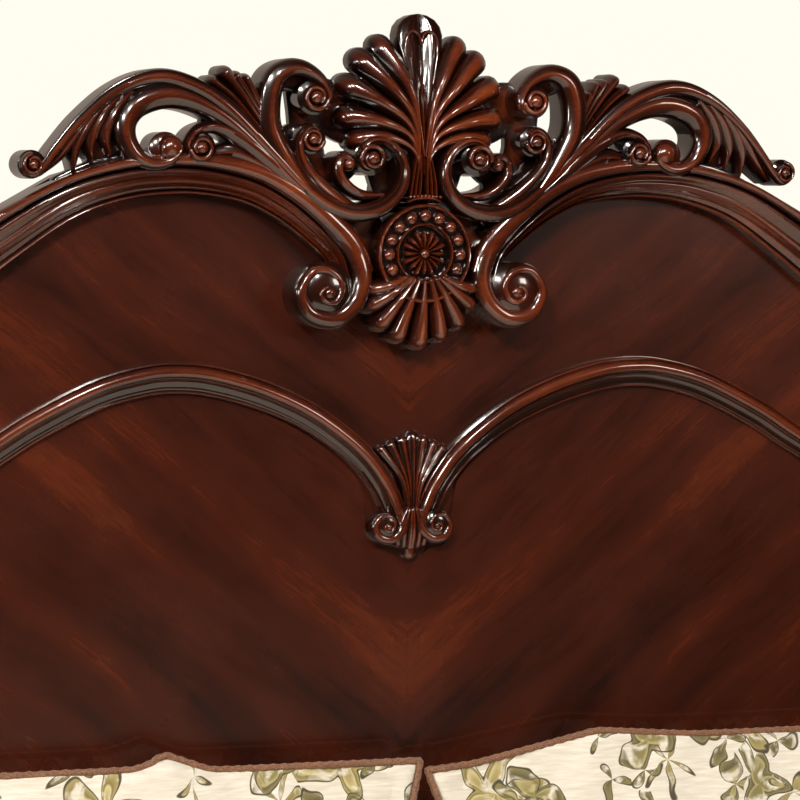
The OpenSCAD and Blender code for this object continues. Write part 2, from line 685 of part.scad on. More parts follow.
// The centre leg number j stands under this slat
function leg_slat(j) = slat_last + j - 2;
function leg_y(j) = (leg_slat(j) - slat_last)*slat_step;
module leg_drill(y) { translate([0, y, deck_z]) rotate([-90, 0, 0]) screw(); }
module slat(i) {
    y = (i - slat_last)*slat_step;
    color("#c2a377") difference() {
        translate([-rail_in + slat_gap, y - slat_w/2, ledger_z])
            cube([2*(rail_in - slat_gap), slat_w, slat_t]);
        slat_drill(y);
        for (j = leg_ids) if (leg_slat(j) == i) leg_drill(y);
    }
}
module slat_screws() {
    color("#8c8c88") {
        for (y = slat_y) slat_drill(y);
        for (j = leg_ids) leg_drill(leg_y(j));
    }
}
stem_in = 24;
module support_leg(j) {
    color("#a98a62") difference() {
        translate([-leg_s/2, leg_y(j) - leg_s/2, leg_z]) cube([leg_s, leg_s, ledger_z - leg_z]);
        translate([0, leg_y(j), leg_z - 1]) cylinder(r = screw_r, h = stem_in + level_travel + 6);
        leg_drill(leg_y(j));
    }
}
pad_floor = 4;
nut_z = pad_h + 2.5;
nut_t = 7;
module leveller_stem(j) {
    color("#b8b8b4") translate([0, leg_y(j), 0]) {
        translate([0, 0, pad_floor + 0.1])
            cylinder(r = screw_r - screw_gap, h = leg_z + stem_in - pad_floor - 0.1);
        translate([0, 0, nut_z]) cylinder(r = screw_r*1.9, h = nut_t, $fn = 6);
    }
}
module leveller_pad(j) {
    color("#2a2a2a") translate([0, leg_y(j), 0]) difference() {
        rotate_extrude()
            polygon([[0, 0], [pad_r - 2, 0], [pad_r, 2], [pad_r, 4], [pad_r*0.5, pad_h], [0, pad_h]]);
        translate([0, 0, pad_floor]) cylinder(r = screw_r, h = pad_h);
    }
}

// ---- bedding ----
module mattress() {
    a = mattress_w/2 - mattress_r;
    b = mattress_l/2 - mattress_r;
    color("#f4efe2") translate([0, 0, deck_z + soft_gap]) linear_extrude(mattress_h) {
        square([2*a, mattress_l], center = true);
        square([mattress_w, 2*b], center = true);
        for (x = [-a, a], y = [-b, b]) translate([x, y]) circle(mattress_r);
    }
}
half_t = pillow_t/2;
half_h = pillow_h/2;
// Leaning pillow: a plain lens-shaped solid that stands on the mattress
module pillow() {
    lean = pillow_lean;
    reach = norm([half_t*cos(lean), half_h*sin(lean)]);
    rise = norm([half_t*sin(lean), half_h*cos(lean)]);
    color("#efe6cf") translate([0, crest_y - bead_d - 2 - reach, mattress_top + soft_gap + rise])
        across(mattress_w/4 - pillow_w/2, mattress_w/4 + pillow_w/2) rotate(-lean)
            polygon([for (i = [0:31]) [half_t*cos(i*11.25), half_h*sin(i*11.25)]]);
}
module pillow_right() { pillow(); }
module pillow_left() { mirror([1, 0, 0]) pillow(); }

head_post_left();
head_post_right();
head_panel();
veneer_left();
veneer_right();
head_bottom_rail();
head_battens();
crown_rail_left();
crown_rail_right();
crest_backing();
crest_scroll_left();
crest_scroll_right();
c_scroll_left();
c_scroll_right();
crest_shell();
medallion();
husk_drop();
arch_bead_left();
arch_bead_right();
bead_pendant();
head_scroll_buttons();
head_feet();
foot_post_left();
foot_post_right();
foot_panel();
foot_bottom_rail();
foot_cap_rail();
foot_bead();
foot_cartouche();
foot_scroll_buttons();
foot_feet();
side_rail_left();
side_rail_right();
rail_cap_left();
rail_cap_right();
rail_base_left();
rail_base_right();
ledgers();
rail_hooks();
post_plates();
plate_screws();
slat_screws();
mattress();
pillow_left();
pillow_right();
for (i = slat_ids)
    slat(i);
for (j = leg_ids) {
    support_leg(j);
    leveller_stem(j);
    leveller_pad(j);
}
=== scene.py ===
import json
import math
import bmesh
import bpy
import numpy as np
from mathutils import Matrix, Vector


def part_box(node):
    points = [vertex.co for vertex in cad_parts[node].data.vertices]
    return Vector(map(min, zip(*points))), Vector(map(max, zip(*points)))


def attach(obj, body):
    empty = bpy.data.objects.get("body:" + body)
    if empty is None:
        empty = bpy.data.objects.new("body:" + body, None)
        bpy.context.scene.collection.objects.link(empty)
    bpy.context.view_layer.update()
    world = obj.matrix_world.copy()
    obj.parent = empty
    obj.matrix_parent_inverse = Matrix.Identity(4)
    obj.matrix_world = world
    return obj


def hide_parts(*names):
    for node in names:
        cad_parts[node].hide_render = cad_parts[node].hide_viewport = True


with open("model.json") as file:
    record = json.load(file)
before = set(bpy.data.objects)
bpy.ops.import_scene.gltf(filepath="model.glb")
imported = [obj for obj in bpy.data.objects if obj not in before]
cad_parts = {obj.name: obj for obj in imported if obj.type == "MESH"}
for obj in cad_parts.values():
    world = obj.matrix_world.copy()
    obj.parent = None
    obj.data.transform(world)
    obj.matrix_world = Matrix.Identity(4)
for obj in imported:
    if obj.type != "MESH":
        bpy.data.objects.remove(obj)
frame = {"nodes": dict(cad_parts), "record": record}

print("bed frame loaded")
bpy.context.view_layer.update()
nodes = frame["nodes"]

# Carvings are drawn in millimetres: x from the middle of the bed, z from the medallion's centre
# and h from the panel's face towards the foot of the bed.
medallionDrop = 43  # from the backing's lower edge down to the medallion's centre
crestY = 1000*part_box("crest_backing")[0][1]
crestZ = 1000*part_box("crest_backing")[0][2] - medallionDrop
postInside = 1000*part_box("head_post_right")[0][0]
headRollZ = 500*(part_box("head_scroll_buttons")[0][2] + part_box("head_scroll_buttons")[1][2])


# A shape is (points, faces, relief): points are x, h, z and relief runs from 0 in a hollow to 1 on a crest,
# darkening the hollows as glaze and as painted shade
def curveThrough(points):
    # Each span is the cubic that runs on smoothly from its neighbours (Catmull-Rom); returns it with its run
    p = np.array(points, float)
    p = np.vstack([2*p[0] - p[1], p, 2*p[-1] - p[-2]])
    t = np.linspace(0, 1, 16, endpoint=False)[None, :, None]
    a, b, c, d = (q[:, None, :] for q in (p[:-3], p[1:-2], p[2:-1], p[3:]))
    q = 0.5*(2*b + (c - a)*t + (2*a - 5*b + 4*c - d)*t**2 + (3*b - a - 3*c + d)*t**3)
    q = np.vstack([q.reshape(-1, p.shape[1]), p[-2:-1]])
    return q, np.concatenate([[0], np.cumsum(np.linalg.norm(np.diff(q, axis=0), axis=1))])


def along(values, t):
    # Evenly spaced values joined by a smooth curve, read at t from 0 to 1
    if len(values) == 1:
        return np.full_like(t, values[0])
    q = curveThrough([(k, v) for k, v in enumerate(values)])[0]
    return np.interp(t*(len(values) - 1), q[:, 0], q[:, 1])


def gridFaces(rows, cols, wrap=True):
    # Four-sided faces between neighbouring rows, with each row closed into a ring if it wraps
    i = np.arange(rows - 1)[:, None]*cols
    j = np.arange(cols if wrap else cols - 1)[None, :]
    k = (j + 1) % cols
    return np.stack([i + j, i + k, i + cols + k, i + cols + j], -1).reshape(-1, 4).tolist()


def frameOf(path, stations):
    # Positions on the curve and the direction to its left, at the given distances
    q, run = curveThrough(path)
    x, z = np.interp(stations, run, q[:, 0]), np.interp(stations, run, q[:, 1])
    dx, dz = np.gradient(x, stations), np.gradient(z, stations)
    size = np.hypot(dx, dz)
    return x, z, -dz/size, dx/size


def ringsToShape(x, h, z, relief):
    rows, cols = x.shape
    faces = gridFaces(rows, cols)
    faces += [list(range(cols)), list(range((rows - 1)*cols, rows*cols))[::-1]]
    return np.stack([x.ravel(), h.ravel(), z.ravel()], 1), faces, relief.ravel()


def strand(path, width, crest, edge=0.8, power=2.5, across=11, step=2.2, grooves=(), ends="oo", foot=0.0):
    # Carved band: a U-shaped section carried along a curve. Its front is a superellipse,
    # h = edge + (crest - edge)(1 - |u|^p)^(1/p), less a bell-shaped dip for each groove.
    # An end marked o is rounded like the end of a spoon, and one marked - is cut square.
    long = curveThrough(path)[1][-1]
    r0, r1 = 0.5*width[0], 0.5*width[-1]
    s = np.linspace(0, long, max(5, int(long/step) + 1))
    cut = 1 - np.cos(np.linspace(0, math.pi/2, 6))
    first = r0*cut if ends[0] == "o" else [0.0]
    last = long - r1*cut if ends[1] == "o" else [long]
    s = s[(s > max(first) + 0.4) & (s < min(last) - 0.4)]
    s = np.unique(np.concatenate([first, s, last]))
    shrink = np.ones_like(s)
    if ends[0] == "o":
        shrink *= np.sqrt(1 - (1 - np.minimum(s/r0, 1))**2)
    if ends[1] == "o":
        shrink *= np.sqrt(1 - (1 - np.minimum((long - s)/r1, 1))**2)
    shrink = np.maximum(shrink, 0.04)[:, None]
    x, z, nx, nz = frameOf(path, s)
    u = np.sin(np.linspace(-math.pi/2, math.pi/2, across))
    dome = (1 - np.abs(u)**power)**(1/power)
    top = along(crest, s/long)[:, None]
    h = top*(edge + (1 - edge)*dome*shrink)
    # glaze and painted shade: highest on the band's crest, falling to its edges, its rounded ends and its
    # grooves; the flanks get 0.4
    relief = np.tile(1 - np.abs(u)**1.7, (len(s), 1))*shrink
    for at, deep, wide in grooves:
        dent = np.exp(-((u - at)/wide)**2)*shrink
        h = h - deep*dent
        relief = relief*(1 - 0.9*dent)
    off = 0.5*along(width, s/long)[:, None]*shrink*u
    x = x[:, None] + nx[:, None]*off
    z = z[:, None] + nz[:, None]*off
    close = lambda a, value: np.concatenate([a, value(a[:, -1:]), value(a[:, :1])], 1)
    return ringsToShape(close(x, lambda a: a), close(h, lambda a: 0*a + foot), close(z, lambda a: a),
                        close(relief, lambda a: 0*a + 0.4))


def turned(centre, profile, around=32):
    # Profile of (radius, height, relief) turned about an axis square to the panel; relief is glaze and
    # painted shade, low in hollows
    r, h, relief = np.array(profile, float).T
    a = np.linspace(0, 2*math.pi, around, endpoint=False)[None, :]
    ones = np.ones_like(a)
    return ringsToShape(centre[0] + r[:, None]*np.cos(a), h[:, None]*ones,
                        centre[1] + r[:, None]*np.sin(a), relief[:, None]*ones)


def ball(centre, radius, crest, edge=0.7, around=28):
    # Dome with a straight wall: h = edge + (crest - edge)cos(a) at radius sin(a)
    a = np.linspace(math.pi/2, 0.06, 7)
    # glaze and painted shade: 0 at the foot, 0.2 up the wall, rising to 1 on the top
    dome = [(radius*math.sin(k), crest*(edge + (1 - edge)*math.cos(k)), 0.2 + 0.8*math.cos(k)) for k in a]
    return turned(centre, [(radius, 0, 0)] + dome, around)


def eye(centre, radius, crest, start=0, way=-1):
    # Rolled-up end of a scroll: a bead in a ring that winds in to it, over a disc that fills the curl
    a = np.radians(start + way*np.linspace(0, 420, 14))
    r = radius*np.linspace(0.92, 0.5, 14)
    coil = list(zip(centre[0] + r*np.cos(a), centre[1] + r*np.sin(a)))
    # glaze and painted shade keep the disc dark, as in the hollow of the curl
    disc = turned(centre, [(1.25*radius, 0, 0), (1.25*radius, 0.76*crest, 0), (0.6*radius, 0.86*crest, 0.1),
                           (0.5, 0.88*crest, 0.1)], 32)
    ring = strand(coil, [0.5*radius, 0.46*radius, 0.34*radius], [crest, crest, crest], edge=0.86, power=2,
                  across=9, step=1.2)
    return join(disc, ring, ball(centre, 0.5*radius, 1.05*crest, 0.86, 20))


def moulding(path, outer, inner, section, scale=(1.0,), step=3.0):
    # Moulding: a section of (offset, height, relief) carried along a curve, relief being glaze and painted
    # shade that is low in the grooves. Offsets over 0 are shares of the outer width and the others of the
    # inner width.
    long = curveThrough(path)[1][-1]
    s = np.linspace(0, long, int(long/step) + 1)
    x, z, nx, nz = frameOf(path, s)
    o, h, relief = np.array(section, float).T
    wide = np.where(o > 0, along(outer, s/long)[:, None], along(inner, s/long)[:, None])
    off = wide*o
    rise = along(scale, s/long)[:, None]
    return ringsToShape(x[:, None] + nx[:, None]*off, rise*h, z[:, None] + nz[:, None]*off,
                        np.tile(relief, (len(s), 1)))


def join(*shapes):
    points, faces, relief, count = [], [], [], 0
    for p, f, r in shapes:
        points.append(p)
        relief.append(r)
        faces += [[k + count for k in face] for face in f]
        count += len(p)
    return np.vstack(points), faces, np.concatenate(relief)


def mirrored(shape):
    points, faces, relief = shape
    return points*[-1, 1, 1], [face[::-1] for face in faces], relief


def makePiece(name, shape, node, top=crestZ, face=None):
    # Carving in millimetres made a mesh in metres, on the head panel or on a leaning face, which is
    # given as its heights and the places of the face there
    points, faces, relief = shape
    mesh = bpy.data.meshes.new(name)
    z = points[:, 2] + top
    y = crestY if face is None else np.interp(z, *face)
    place = np.stack([points[:, 0], y - points[:, 1], z], 1)/1000
    mesh.from_pydata(place.tolist(), [], faces)
    mesh.attributes.new("relief", "FLOAT", "POINT").data.foreach_set("value", relief.astype(np.float32))
    finishPiece(name, mesh, "bedstead", carvedMahogany, [node], 48)


def makePair(name, shape, node):
    # A carving of the left half and its mirror image
    makePiece(name + "Left", shape, node + "_left")
    makePiece(name + "Right", mirrored(shape), node + "_right")


def finishPiece(name, mesh, body, material, replaced, sharp):
    # Faces outwards, smooth apart from its arrises, riding on its body
    bm = bmesh.new()
    bm.from_mesh(mesh)
    bmesh.ops.recalc_face_normals(bm, faces=bm.faces)
    bm.to_mesh(mesh)
    bm.free()
    mesh.polygons.foreach_set("use_smooth", np.ones(len(mesh.polygons), bool))
    mesh.set_sharp_from_angle(angle=math.radians(sharp))
    mesh.materials.clear()
    mesh.materials.append(material)
    piece = bpy.data.objects.new(name, mesh)
    bpy.context.collection.objects.link(piece)
    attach(piece, body)
    if replaced:
        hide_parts(*replaced)
    return piece


def copyOfNode(node, material, arris=0.0015, relief=0.55, sharp=35):
    # Joinery piece: the CAD shape with its doubles merged and its arrises eased
    mesh = nodes[node].data.copy()
    bm = bmesh.new()
    bm.from_mesh(mesh)
    bmesh.ops.remove_doubles(bm, verts=bm.verts, dist=1e-5)
    bmesh.ops.dissolve_limit(bm, angle_limit=math.radians(0.6), verts=bm.verts, edges=bm.edges)
    bm.to_mesh(mesh)
    bm.free()
    glazeShadeAttribute = mesh.attributes.new("relief", "FLOAT", "POINT")
    glazeShadeAttribute.data.foreach_set("value", np.full(len(mesh.vertices), relief, np.float32))
    name = "".join(word.capitalize() for word in node.split("_"))
    piece = finishPiece(name, mesh, "bedstead", material, (node,), sharp)
    if arris:
        bevel = piece.modifiers.new("eased arris", "BEVEL")
        bevel.width = arris
        bevel.segments = 2
        bevel.limit_method = "ANGLE"
        bevel.angle_limit = math.radians(38)
        bevel.use_clamp_overlap = True
    return piece


slotOf = {part["node"]: part["material_slot"] for part in frame["record"]["subparts"]}


def colour(text):
    # sRGB hex to linear RGBA
    channels = [int(text[k:k + 2], 16)/255 for k in (1, 3, 5)]
    return [c/12.92 if c <= 0.04045 else ((c + 0.055)/1.055)**2.4 for c in channels] + [1.0]


def addNode(tree, kind, inputs=None, stops=None, **settings):
    # Adds a node. An input is given a value, or another node's output to link from
    node = tree.nodes.new("ShaderNode" + kind)
    for key, value in settings.items():
        setattr(node, key, value)
    if stops:
        elements = node.color_ramp.elements
        while len(elements) < len(stops):
            elements.new(0.5)
        for element, (at, text) in zip(elements, stops):
            element.position = at
            element.color = colour(text)
    for key, value in (inputs or {}).items():
        if isinstance(value, bpy.types.NodeSocket):
            tree.links.new(value, node.inputs[key])
        else:
            node.inputs[key].default_value = value
    return node


def newMaterial(name):
    material = bpy.data.materials.new(name)
    material.use_nodes = True
    material.node_tree.nodes.clear()
    return material, material.node_tree


def surface(tree, shader):
    tree.links.new(shader.outputs[0], addNode(tree, "OutputMaterial").inputs["Surface"])


def lacqueredWood(name, stops, turn=(0, 0, 0), book=False, relief=0.0, gloss=0.2, figure=0.25, cloud=0.3,
                  uneven=0.3, band=22, glazeShadeShift=0.55):
    # Mahogany, carved or planed, then stained, glazed and polished under clear lacquer. The eye sees a hard,
    # slightly wavy gloss over red-brown: the glaze stays near-black in the hollows and is rubbed off the
    # crests, and painted shade darkens the same hollows. Grain about 1.5 mm wide runs along the local x axis
    # after the turn, with broader figure over it.
    material, tree = newMaterial(name)
    where = addNode(tree, "TexCoord").outputs["Object"]
    if book:
        parts = addNode(tree, "SeparateXYZ", {0: where})
        side = addNode(tree, "Math", {0: parts.outputs[0]}, operation="ABSOLUTE")
        folded = addNode(tree, "CombineXYZ", {0: side.outputs[0], 1: parts.outputs[1], 2: parts.outputs[2]})
        where = folded.outputs[0]
    alongGrain = addNode(tree, "Mapping", {0: where, "Rotation": turn}).outputs[0]
    bend = addNode(tree, "TexNoise", {"Vector": alongGrain, "Scale": 3.5, "Detail": 2.0})
    bent = addNode(tree, "VectorMath", {0: bend.outputs["Color"], 1: (0.05, 0.05, 0.05)},
                   operation="MULTIPLY")
    grainAt = addNode(tree, "VectorMath", {0: alongGrain, 1: bent.outputs[0]}, operation="ADD").outputs[0]
    broad = addNode(tree, "Mapping", {0: grainAt, "Scale": (1.4, band, band)})
    fine = addNode(tree, "Mapping", {0: grainAt, "Scale": (24, 380, 380)})
    figureNoise = addNode(tree, "TexNoise", {"Vector": broad.outputs[0], "Scale": 1.0, "Detail": 5.0,
                                             "Roughness": 0.62})
    poreNoise = addNode(tree, "TexNoise", {"Vector": fine.outputs[0], "Scale": 1.0, "Detail": 3.0})
    cloudNoise = addNode(tree, "TexNoise", {"Vector": where, "Scale": 9.0, "Detail": 4.0, "Roughness": 0.6})
    shade = addNode(tree, "Math", {0: figureNoise.outputs[0], 1: figure*2, 2: 0.5 - figure},
                    operation="MULTIPLY_ADD")
    clouded = addNode(tree, "Math", {0: cloudNoise.outputs[0], 1: cloud, 2: shade.outputs[0]},
                      operation="MULTIPLY_ADD")
    shadeOut = addNode(tree, "Math", {0: clouded.outputs[0], 1: 0.5*cloud}, operation="SUBTRACT").outputs[0]
    if relief:
        # glaze and painted shade: the relief attribute darkens hollows and lightens crests
        glazeShadeAttribute = addNode(tree, "Attribute", attribute_name="relief").outputs["Fac"]
        glazeShadeAdded = addNode(tree, "Math", {0: glazeShadeAttribute, 1: relief, 2: shadeOut}, operation="MULTIPLY_ADD")
        glazeShadeShifted = addNode(tree, "Math", {0: glazeShadeAdded.outputs[0], 1: relief*glazeShadeShift}, operation="SUBTRACT")
        shadeOut = glazeShadeShifted.outputs[0]
    pores = addNode(tree, "Math", {0: poreNoise.outputs[0], 1: 0.24, 2: shadeOut}, operation="MULTIPLY_ADD")
    tone = addNode(tree, "Math", {0: pores.outputs[0], 1: 0.12}, operation="SUBTRACT")
    base = addNode(tree, "ValToRGB", {0: tone.outputs[0]}, stops)
    dull = addNode(tree, "Math", {0: cloudNoise.outputs[0], 1: 0.12, 2: gloss}, operation="MULTIPLY_ADD")
    handWork = addNode(tree, "TexNoise", {"Vector": where, "Scale": 55.0, "Detail": 2.0})
    unevenness = addNode(tree, "Bump", {"Height": handWork.outputs[0], "Strength": uneven,
                                        "Distance": 0.0005})
    poreBump = addNode(tree, "Bump", {"Height": poreNoise.outputs[0], "Strength": 0.12, "Distance": 0.0002,
                                      "Normal": unevenness.outputs[0]})
    shader = addNode(tree, "BsdfPrincipled", {"Base Color": base.outputs[0], "Roughness": dull.outputs[0],
                                              "IOR": 1.5, "Coat Weight": 1.0, "Coat Roughness": 0.04,
                                              "Coat IOR": 1.5, "Normal": poreBump.outputs[0],
                                              "Coat Normal": unevenness.outputs[0]})
    surface(tree, shader)
    return material


darkStops = [(0.0, "#0d0402"), (0.3, "#240b05"), (0.55, "#46190a"), (0.8, "#6c2c11"), (1.0, "#92431a")]
# strong glaze and painted shade in the carvings' hollows
carvedMahogany = lacqueredWood("glazed mahogany, carved", darkStops, turn=(0, 0.3, 0), relief=0.62,
                               gloss=0.14, cloud=0.6, glazeShadeShift=0.68)
joineryAlong = lacqueredWood("lacquered mahogany, grain across", darkStops, relief=0.3)
joineryUp = lacqueredWood("lacquered mahogany, grain upright", darkStops, turn=(0, math.pi/2, 0), relief=0.3)
joineryRail = lacqueredWood("lacquered mahogany, grain lengthwise", darkStops, turn=(0, 0, math.pi/2),
                            relief=0.3)
panelWood = lacqueredWood("lacquered mahogany panel", darkStops, turn=(0, math.radians(35), 0), book=True,
                          relief=0.2, figure=0.34, cloud=0.2, uneven=0.06)
# crotch veneer, sliced and laid as two mirrored leaves: broad flames that meet in a point on the middle line
bookVeneer = lacqueredWood("book-matched crotch veneer", darkStops, turn=(0, math.radians(40), 0), book=True,
                           relief=0.2, figure=0.52, cloud=0.2, uneven=0.04, band=13)
print("wood finishes ready")

crown = {
    "turn": (-434, 22),
    "post": (-postInside - 36, headRollZ + 35 - crestZ),
    "arch": [(-369, 59), (-310, 76), (-262, 80), (-220, 77), (-175, 66), (-138, 46), (-106, 20), (-84, -4),
             (-76, -28)],
    "outer": [20, 22, 22, 17, 9, 13, 21, 26],
    "inner": [30, 46, 30, 13],
    # fascia, dark groove, cove, ridge, cove, fillet and bead, from the top edge to the panel; each point's
    # third value is glaze and painted shade, low in the grooves
    "section": [(1, 0, 0), (1, 33, 0.3), (0.95, 37, 0.6), (0.8, 40.5, 0.8), (0.55, 42, 1), (0.32, 41, 0.9),
                (0.15, 38, 0.5), (0.05, 33, 0.1), (0, 31, 0), (-0.03, 33, 0.2), (-0.08, 35.5, 0.5),
                (-0.14, 36, 0.8), (-0.22, 34, 0.75), (-0.32, 30, 0.7), (-0.4, 28.3, 0.6), (-0.455, 29.3, 0.8),
                (-0.485, 30.5, 1), (-0.52, 29.6, 0.95), (-0.58, 25.5, 0.85), (-0.66, 20, 0.85),
                (-0.74, 16.6, 0.85), (-0.805, 16, 0.8), (-0.825, 15, 0.1), (-0.84, 13.6, 0),
                (-0.86, 14.4, 0.3), (-0.9, 17, 0.9), (-0.935, 17.4, 1), (-0.97, 15, 0.8), (-0.99, 11, 0.4),
                (-1, 5, 0.1), (-1, 0, 0)],
}
# shares of the run from the arch to the post, and of the drop
crownFall = [(1, 1), (0.823, 0.96), (0.608, 0.814), (0.366, 0.523), (0.177, 0.256)]
crownLine = [(crown["turn"][0] + a*(crown["post"][0] - crown["turn"][0]),
              crown["turn"][1] + b*(crown["post"][1] - crown["turn"][1])) for a, b in crownFall]
crownLine += [crown["turn"]] + crown["arch"]

# Volute as (clockwise angle from the right, radius of the band's middle, width), for an outer radius of 38
voluteTurns = [(-86, 70, 25), (-57, 52, 25), (-23, 41.5, 24.5), (10, 33.5, 24), (45, 29, 22.5),
               (80, 27.5, 21.5), (130, 27, 21.5), (180, 27, 22), (230, 25.5, 21.5), (270, 21.5, 19),
               (310, 17.5, 15.5), (350, 14.5, 12.5), (400, 12.4, 12.3), (440, 11.3, 12), (490, 9.6, 11),
               (540, 7.6, 10), (600, 5.4, 8), (650, 3.4, 6)]


def volute(centre, size, crest, skip=0):
    turns = voluteTurns[skip:]
    path = [(centre[0] + size*r*math.cos(math.radians(a)), centre[1] - size*r*math.sin(math.radians(a)))
            for a, r, w in turns]
    rise = [crest*k for k in np.interp([a for a, r, w in turns], [-90, 60, 200, 400, 650],
                                       [0.86, 0.99, 1, 0.98, 1.04])]
    return join(strand(path, [size*w for a, r, w in turns], rise, edge=0.7, power=2.2, across=13,
                       step=2.4*size + 0.4, ends="-o"),
                # glaze and painted shade: the disc darkens from its middle out to its rim
                turned(centre, [(30*size, 0, 0), (30*size, crest*0.76, 0.1), (22*size, crest*0.9, 0.3),
                                (14*size, crest*0.96, 0.5), (6*size, crest*0.98, 0.5), (1, crest*0.98, 0.5)]),
                ball((centre[0] + 1.5*size, centre[1] - size), 7.5*size, crest*1.04, 0.82, 24))


crownShape = join(moulding(crownLine, crown["outer"], crown["inner"], crown["section"]),
                  volute((-102, -42), 1.0, 45),
                  ball((crown["post"][0], crown["post"][1] - 30), 33, 44, 0.75, 48))
makePair("ArchRail", crownShape, "crown_rail")

arch = {
    "turn": (-427, -195),
    "side": -postInside + 178,
    "peak": [(-389, -172), (-328, -143), (-278, -130), (-244, -128), (-210, -132), (-164, -145), (-120, -164),
             (-85, -186), (-55, -211), (-34, -238), (-22, -262), (-18, -278)],
    # each point's third value is glaze and painted shade, low in the grooves
    "section": [(1, 0, 0), (1, 6.5, 0.3), (0.95, 9.3, 0.8), (0.88, 9.8, 0.9), (0.82, 9, 0.3),
                (0.76, 10.2, 0.5), (0.6, 13, 0.9), (0.4, 14, 1), (0.2, 13.4, 0.9), (0.06, 11.6, 0.6),
                (0.01, 9.6, 0), (-0.03, 9.4, 0.1), (-0.08, 10.3, 0.8), (-0.14, 10.2, 0.6), (-0.2, 8.8, 0.2),
                (-0.4, 7.6, 0.3), (-0.62, 7, 0.3), (-0.74, 7, 0.2), (-0.78, 6.6, 0), (-0.83, 8, 0.7),
                (-0.9, 8.6, 0.9), (-0.96, 7.4, 0.5), (-1, 5, 0.1), (-1, 0, 0)],
}
archSide = [(1, -600), (1, -480), (0.952, -395), (0.806, -325), (0.564, -268), (0.261, -222)]
archLine = [(arch["turn"][0] + a*(arch["side"] - arch["turn"][0]), z) for a, z in archSide]
archLine += [arch["turn"]] + arch["peak"]
archShape = join(moulding(archLine, [15, 15, 15, 16, 15], [15, 15, 15, 15, 9], arch["section"],
                          [1, 1, 1, 1.1, 1.25]),
                 volute((-27, -281), 0.5, 20, 2),
                 ball((archLine[0][0] - 14, archLine[0][1] - 2), 24, 15, 0.7, 40),
                 ball((archLine[0][0] - 14, archLine[0][1] - 2), 13, 18, 0.8, 32))
makePair("ArchBead", archShape, "arch_bead")

pendant = []
for x, z, w, top in ((-36, -199, 11, 14), (-25, -194, 12, 16), (-13, -189, 12, 17)):
    petal = strand([(0.1*x, -275), (0.3*x, -235), (x, z)], [4, 7, w], [15, 18, top], edge=0.5, power=2,
                   grooves=[(0.4, 1.5, 0.2)])
    pendant += [petal, mirrored(petal)]
pendant += [strand([(0, -275), (0, -232), (0, -184)], [6, 9, 19], [17, 20, 18], edge=0.55, power=2.2,
                   grooves=[(-0.3, 1.6, 0.18), (0.3, 1.6, 0.18)]),
            strand([(0, -268), (0, -317)], [26, 12], [13, 9], edge=0.6, power=2)]
for x0, x1, w in ((1.5, 1, 9), (8, 8, 8), (14, 15, 8)):
    petal = strand([(x0*0.4, -262), (x0, -285), (x1*0.9, -300 - w*0.9 + x1*0.2)], [5, 8, w], [18, 18, 12],
                   edge=0.5, power=2)
    pendant += [petal, mirrored(petal)]
makePiece("BeadPendant", join(*pendant), "bead_pendant")
print("mouldings carved")

cScroll = join(
    strand([(-150, 86), (-126, 63), (-105, 47), (-83, 38), (-62, 37), (-42, 44), (-27, 59), (-22, 78),
            (-28, 96), (-42, 107), (-56, 108), (-66, 101), (-69, 91), (-64, 82), (-56, 80)],
           [6, 12, 17, 19, 19, 19, 19, 18, 16, 14, 12, 11, 9, 8, 6], [44, 46, 47, 47, 46, 45], edge=0.74,
           power=2.2, grooves=[(0.35, 2.6, 0.1), (-0.5, 1.8, 0.09), (0.7, 1.8, 0.07)]),
    eye((-57, 91), 14, 49, 200),
    strand([(-40, 54), (-64, 54), (-80, 62), (-90, 75), (-90, 88), (-83, 93), (-76, 88)], [5, 11, 13, 12, 8],
           [38, 42, 44, 43], edge=0.7, power=2.2, grooves=[(0.4, 1.6, 0.12)]),
    ball((-80, 85), 7.5, 45),
    strand([(-60, 38), (-82, 44), (-102, 56), (-120, 73), (-131, 90), (-133, 107), (-127, 118), (-118, 121),
            (-111, 115)], [6, 13, 18, 19, 17, 14, 11, 9, 7], [38, 44, 46, 47, 44], edge=0.72, power=2.2,
           grooves=[(0.3, 2.4, 0.1), (-0.45, 1.6, 0.09)]),
    eye((-119, 109), 12, 47, 0),
    # recessed grounds inside the curls and up to the shell
    strand([(-30, 52), (-36, 78), (-44, 104)], [24, 30, 28], [10, 10], edge=0.95),
    strand([(-104, 168), (-92, 146), (-62, 128), (-40, 110)], [30, 56, 56, 34], [10, 10], edge=0.95),
    strand([(-122, 150), (-116, 122), (-108, 96), (-100, 74)], [34, 30, 24, 18], [10, 10], edge=0.95),
    strand([(-108, 80), (-84, 76), (-62, 92), (-48, 104)], [20, 26, 22, 20], [10, 10], edge=0.95))
makePair("CScroll", cScroll, "c_scroll")

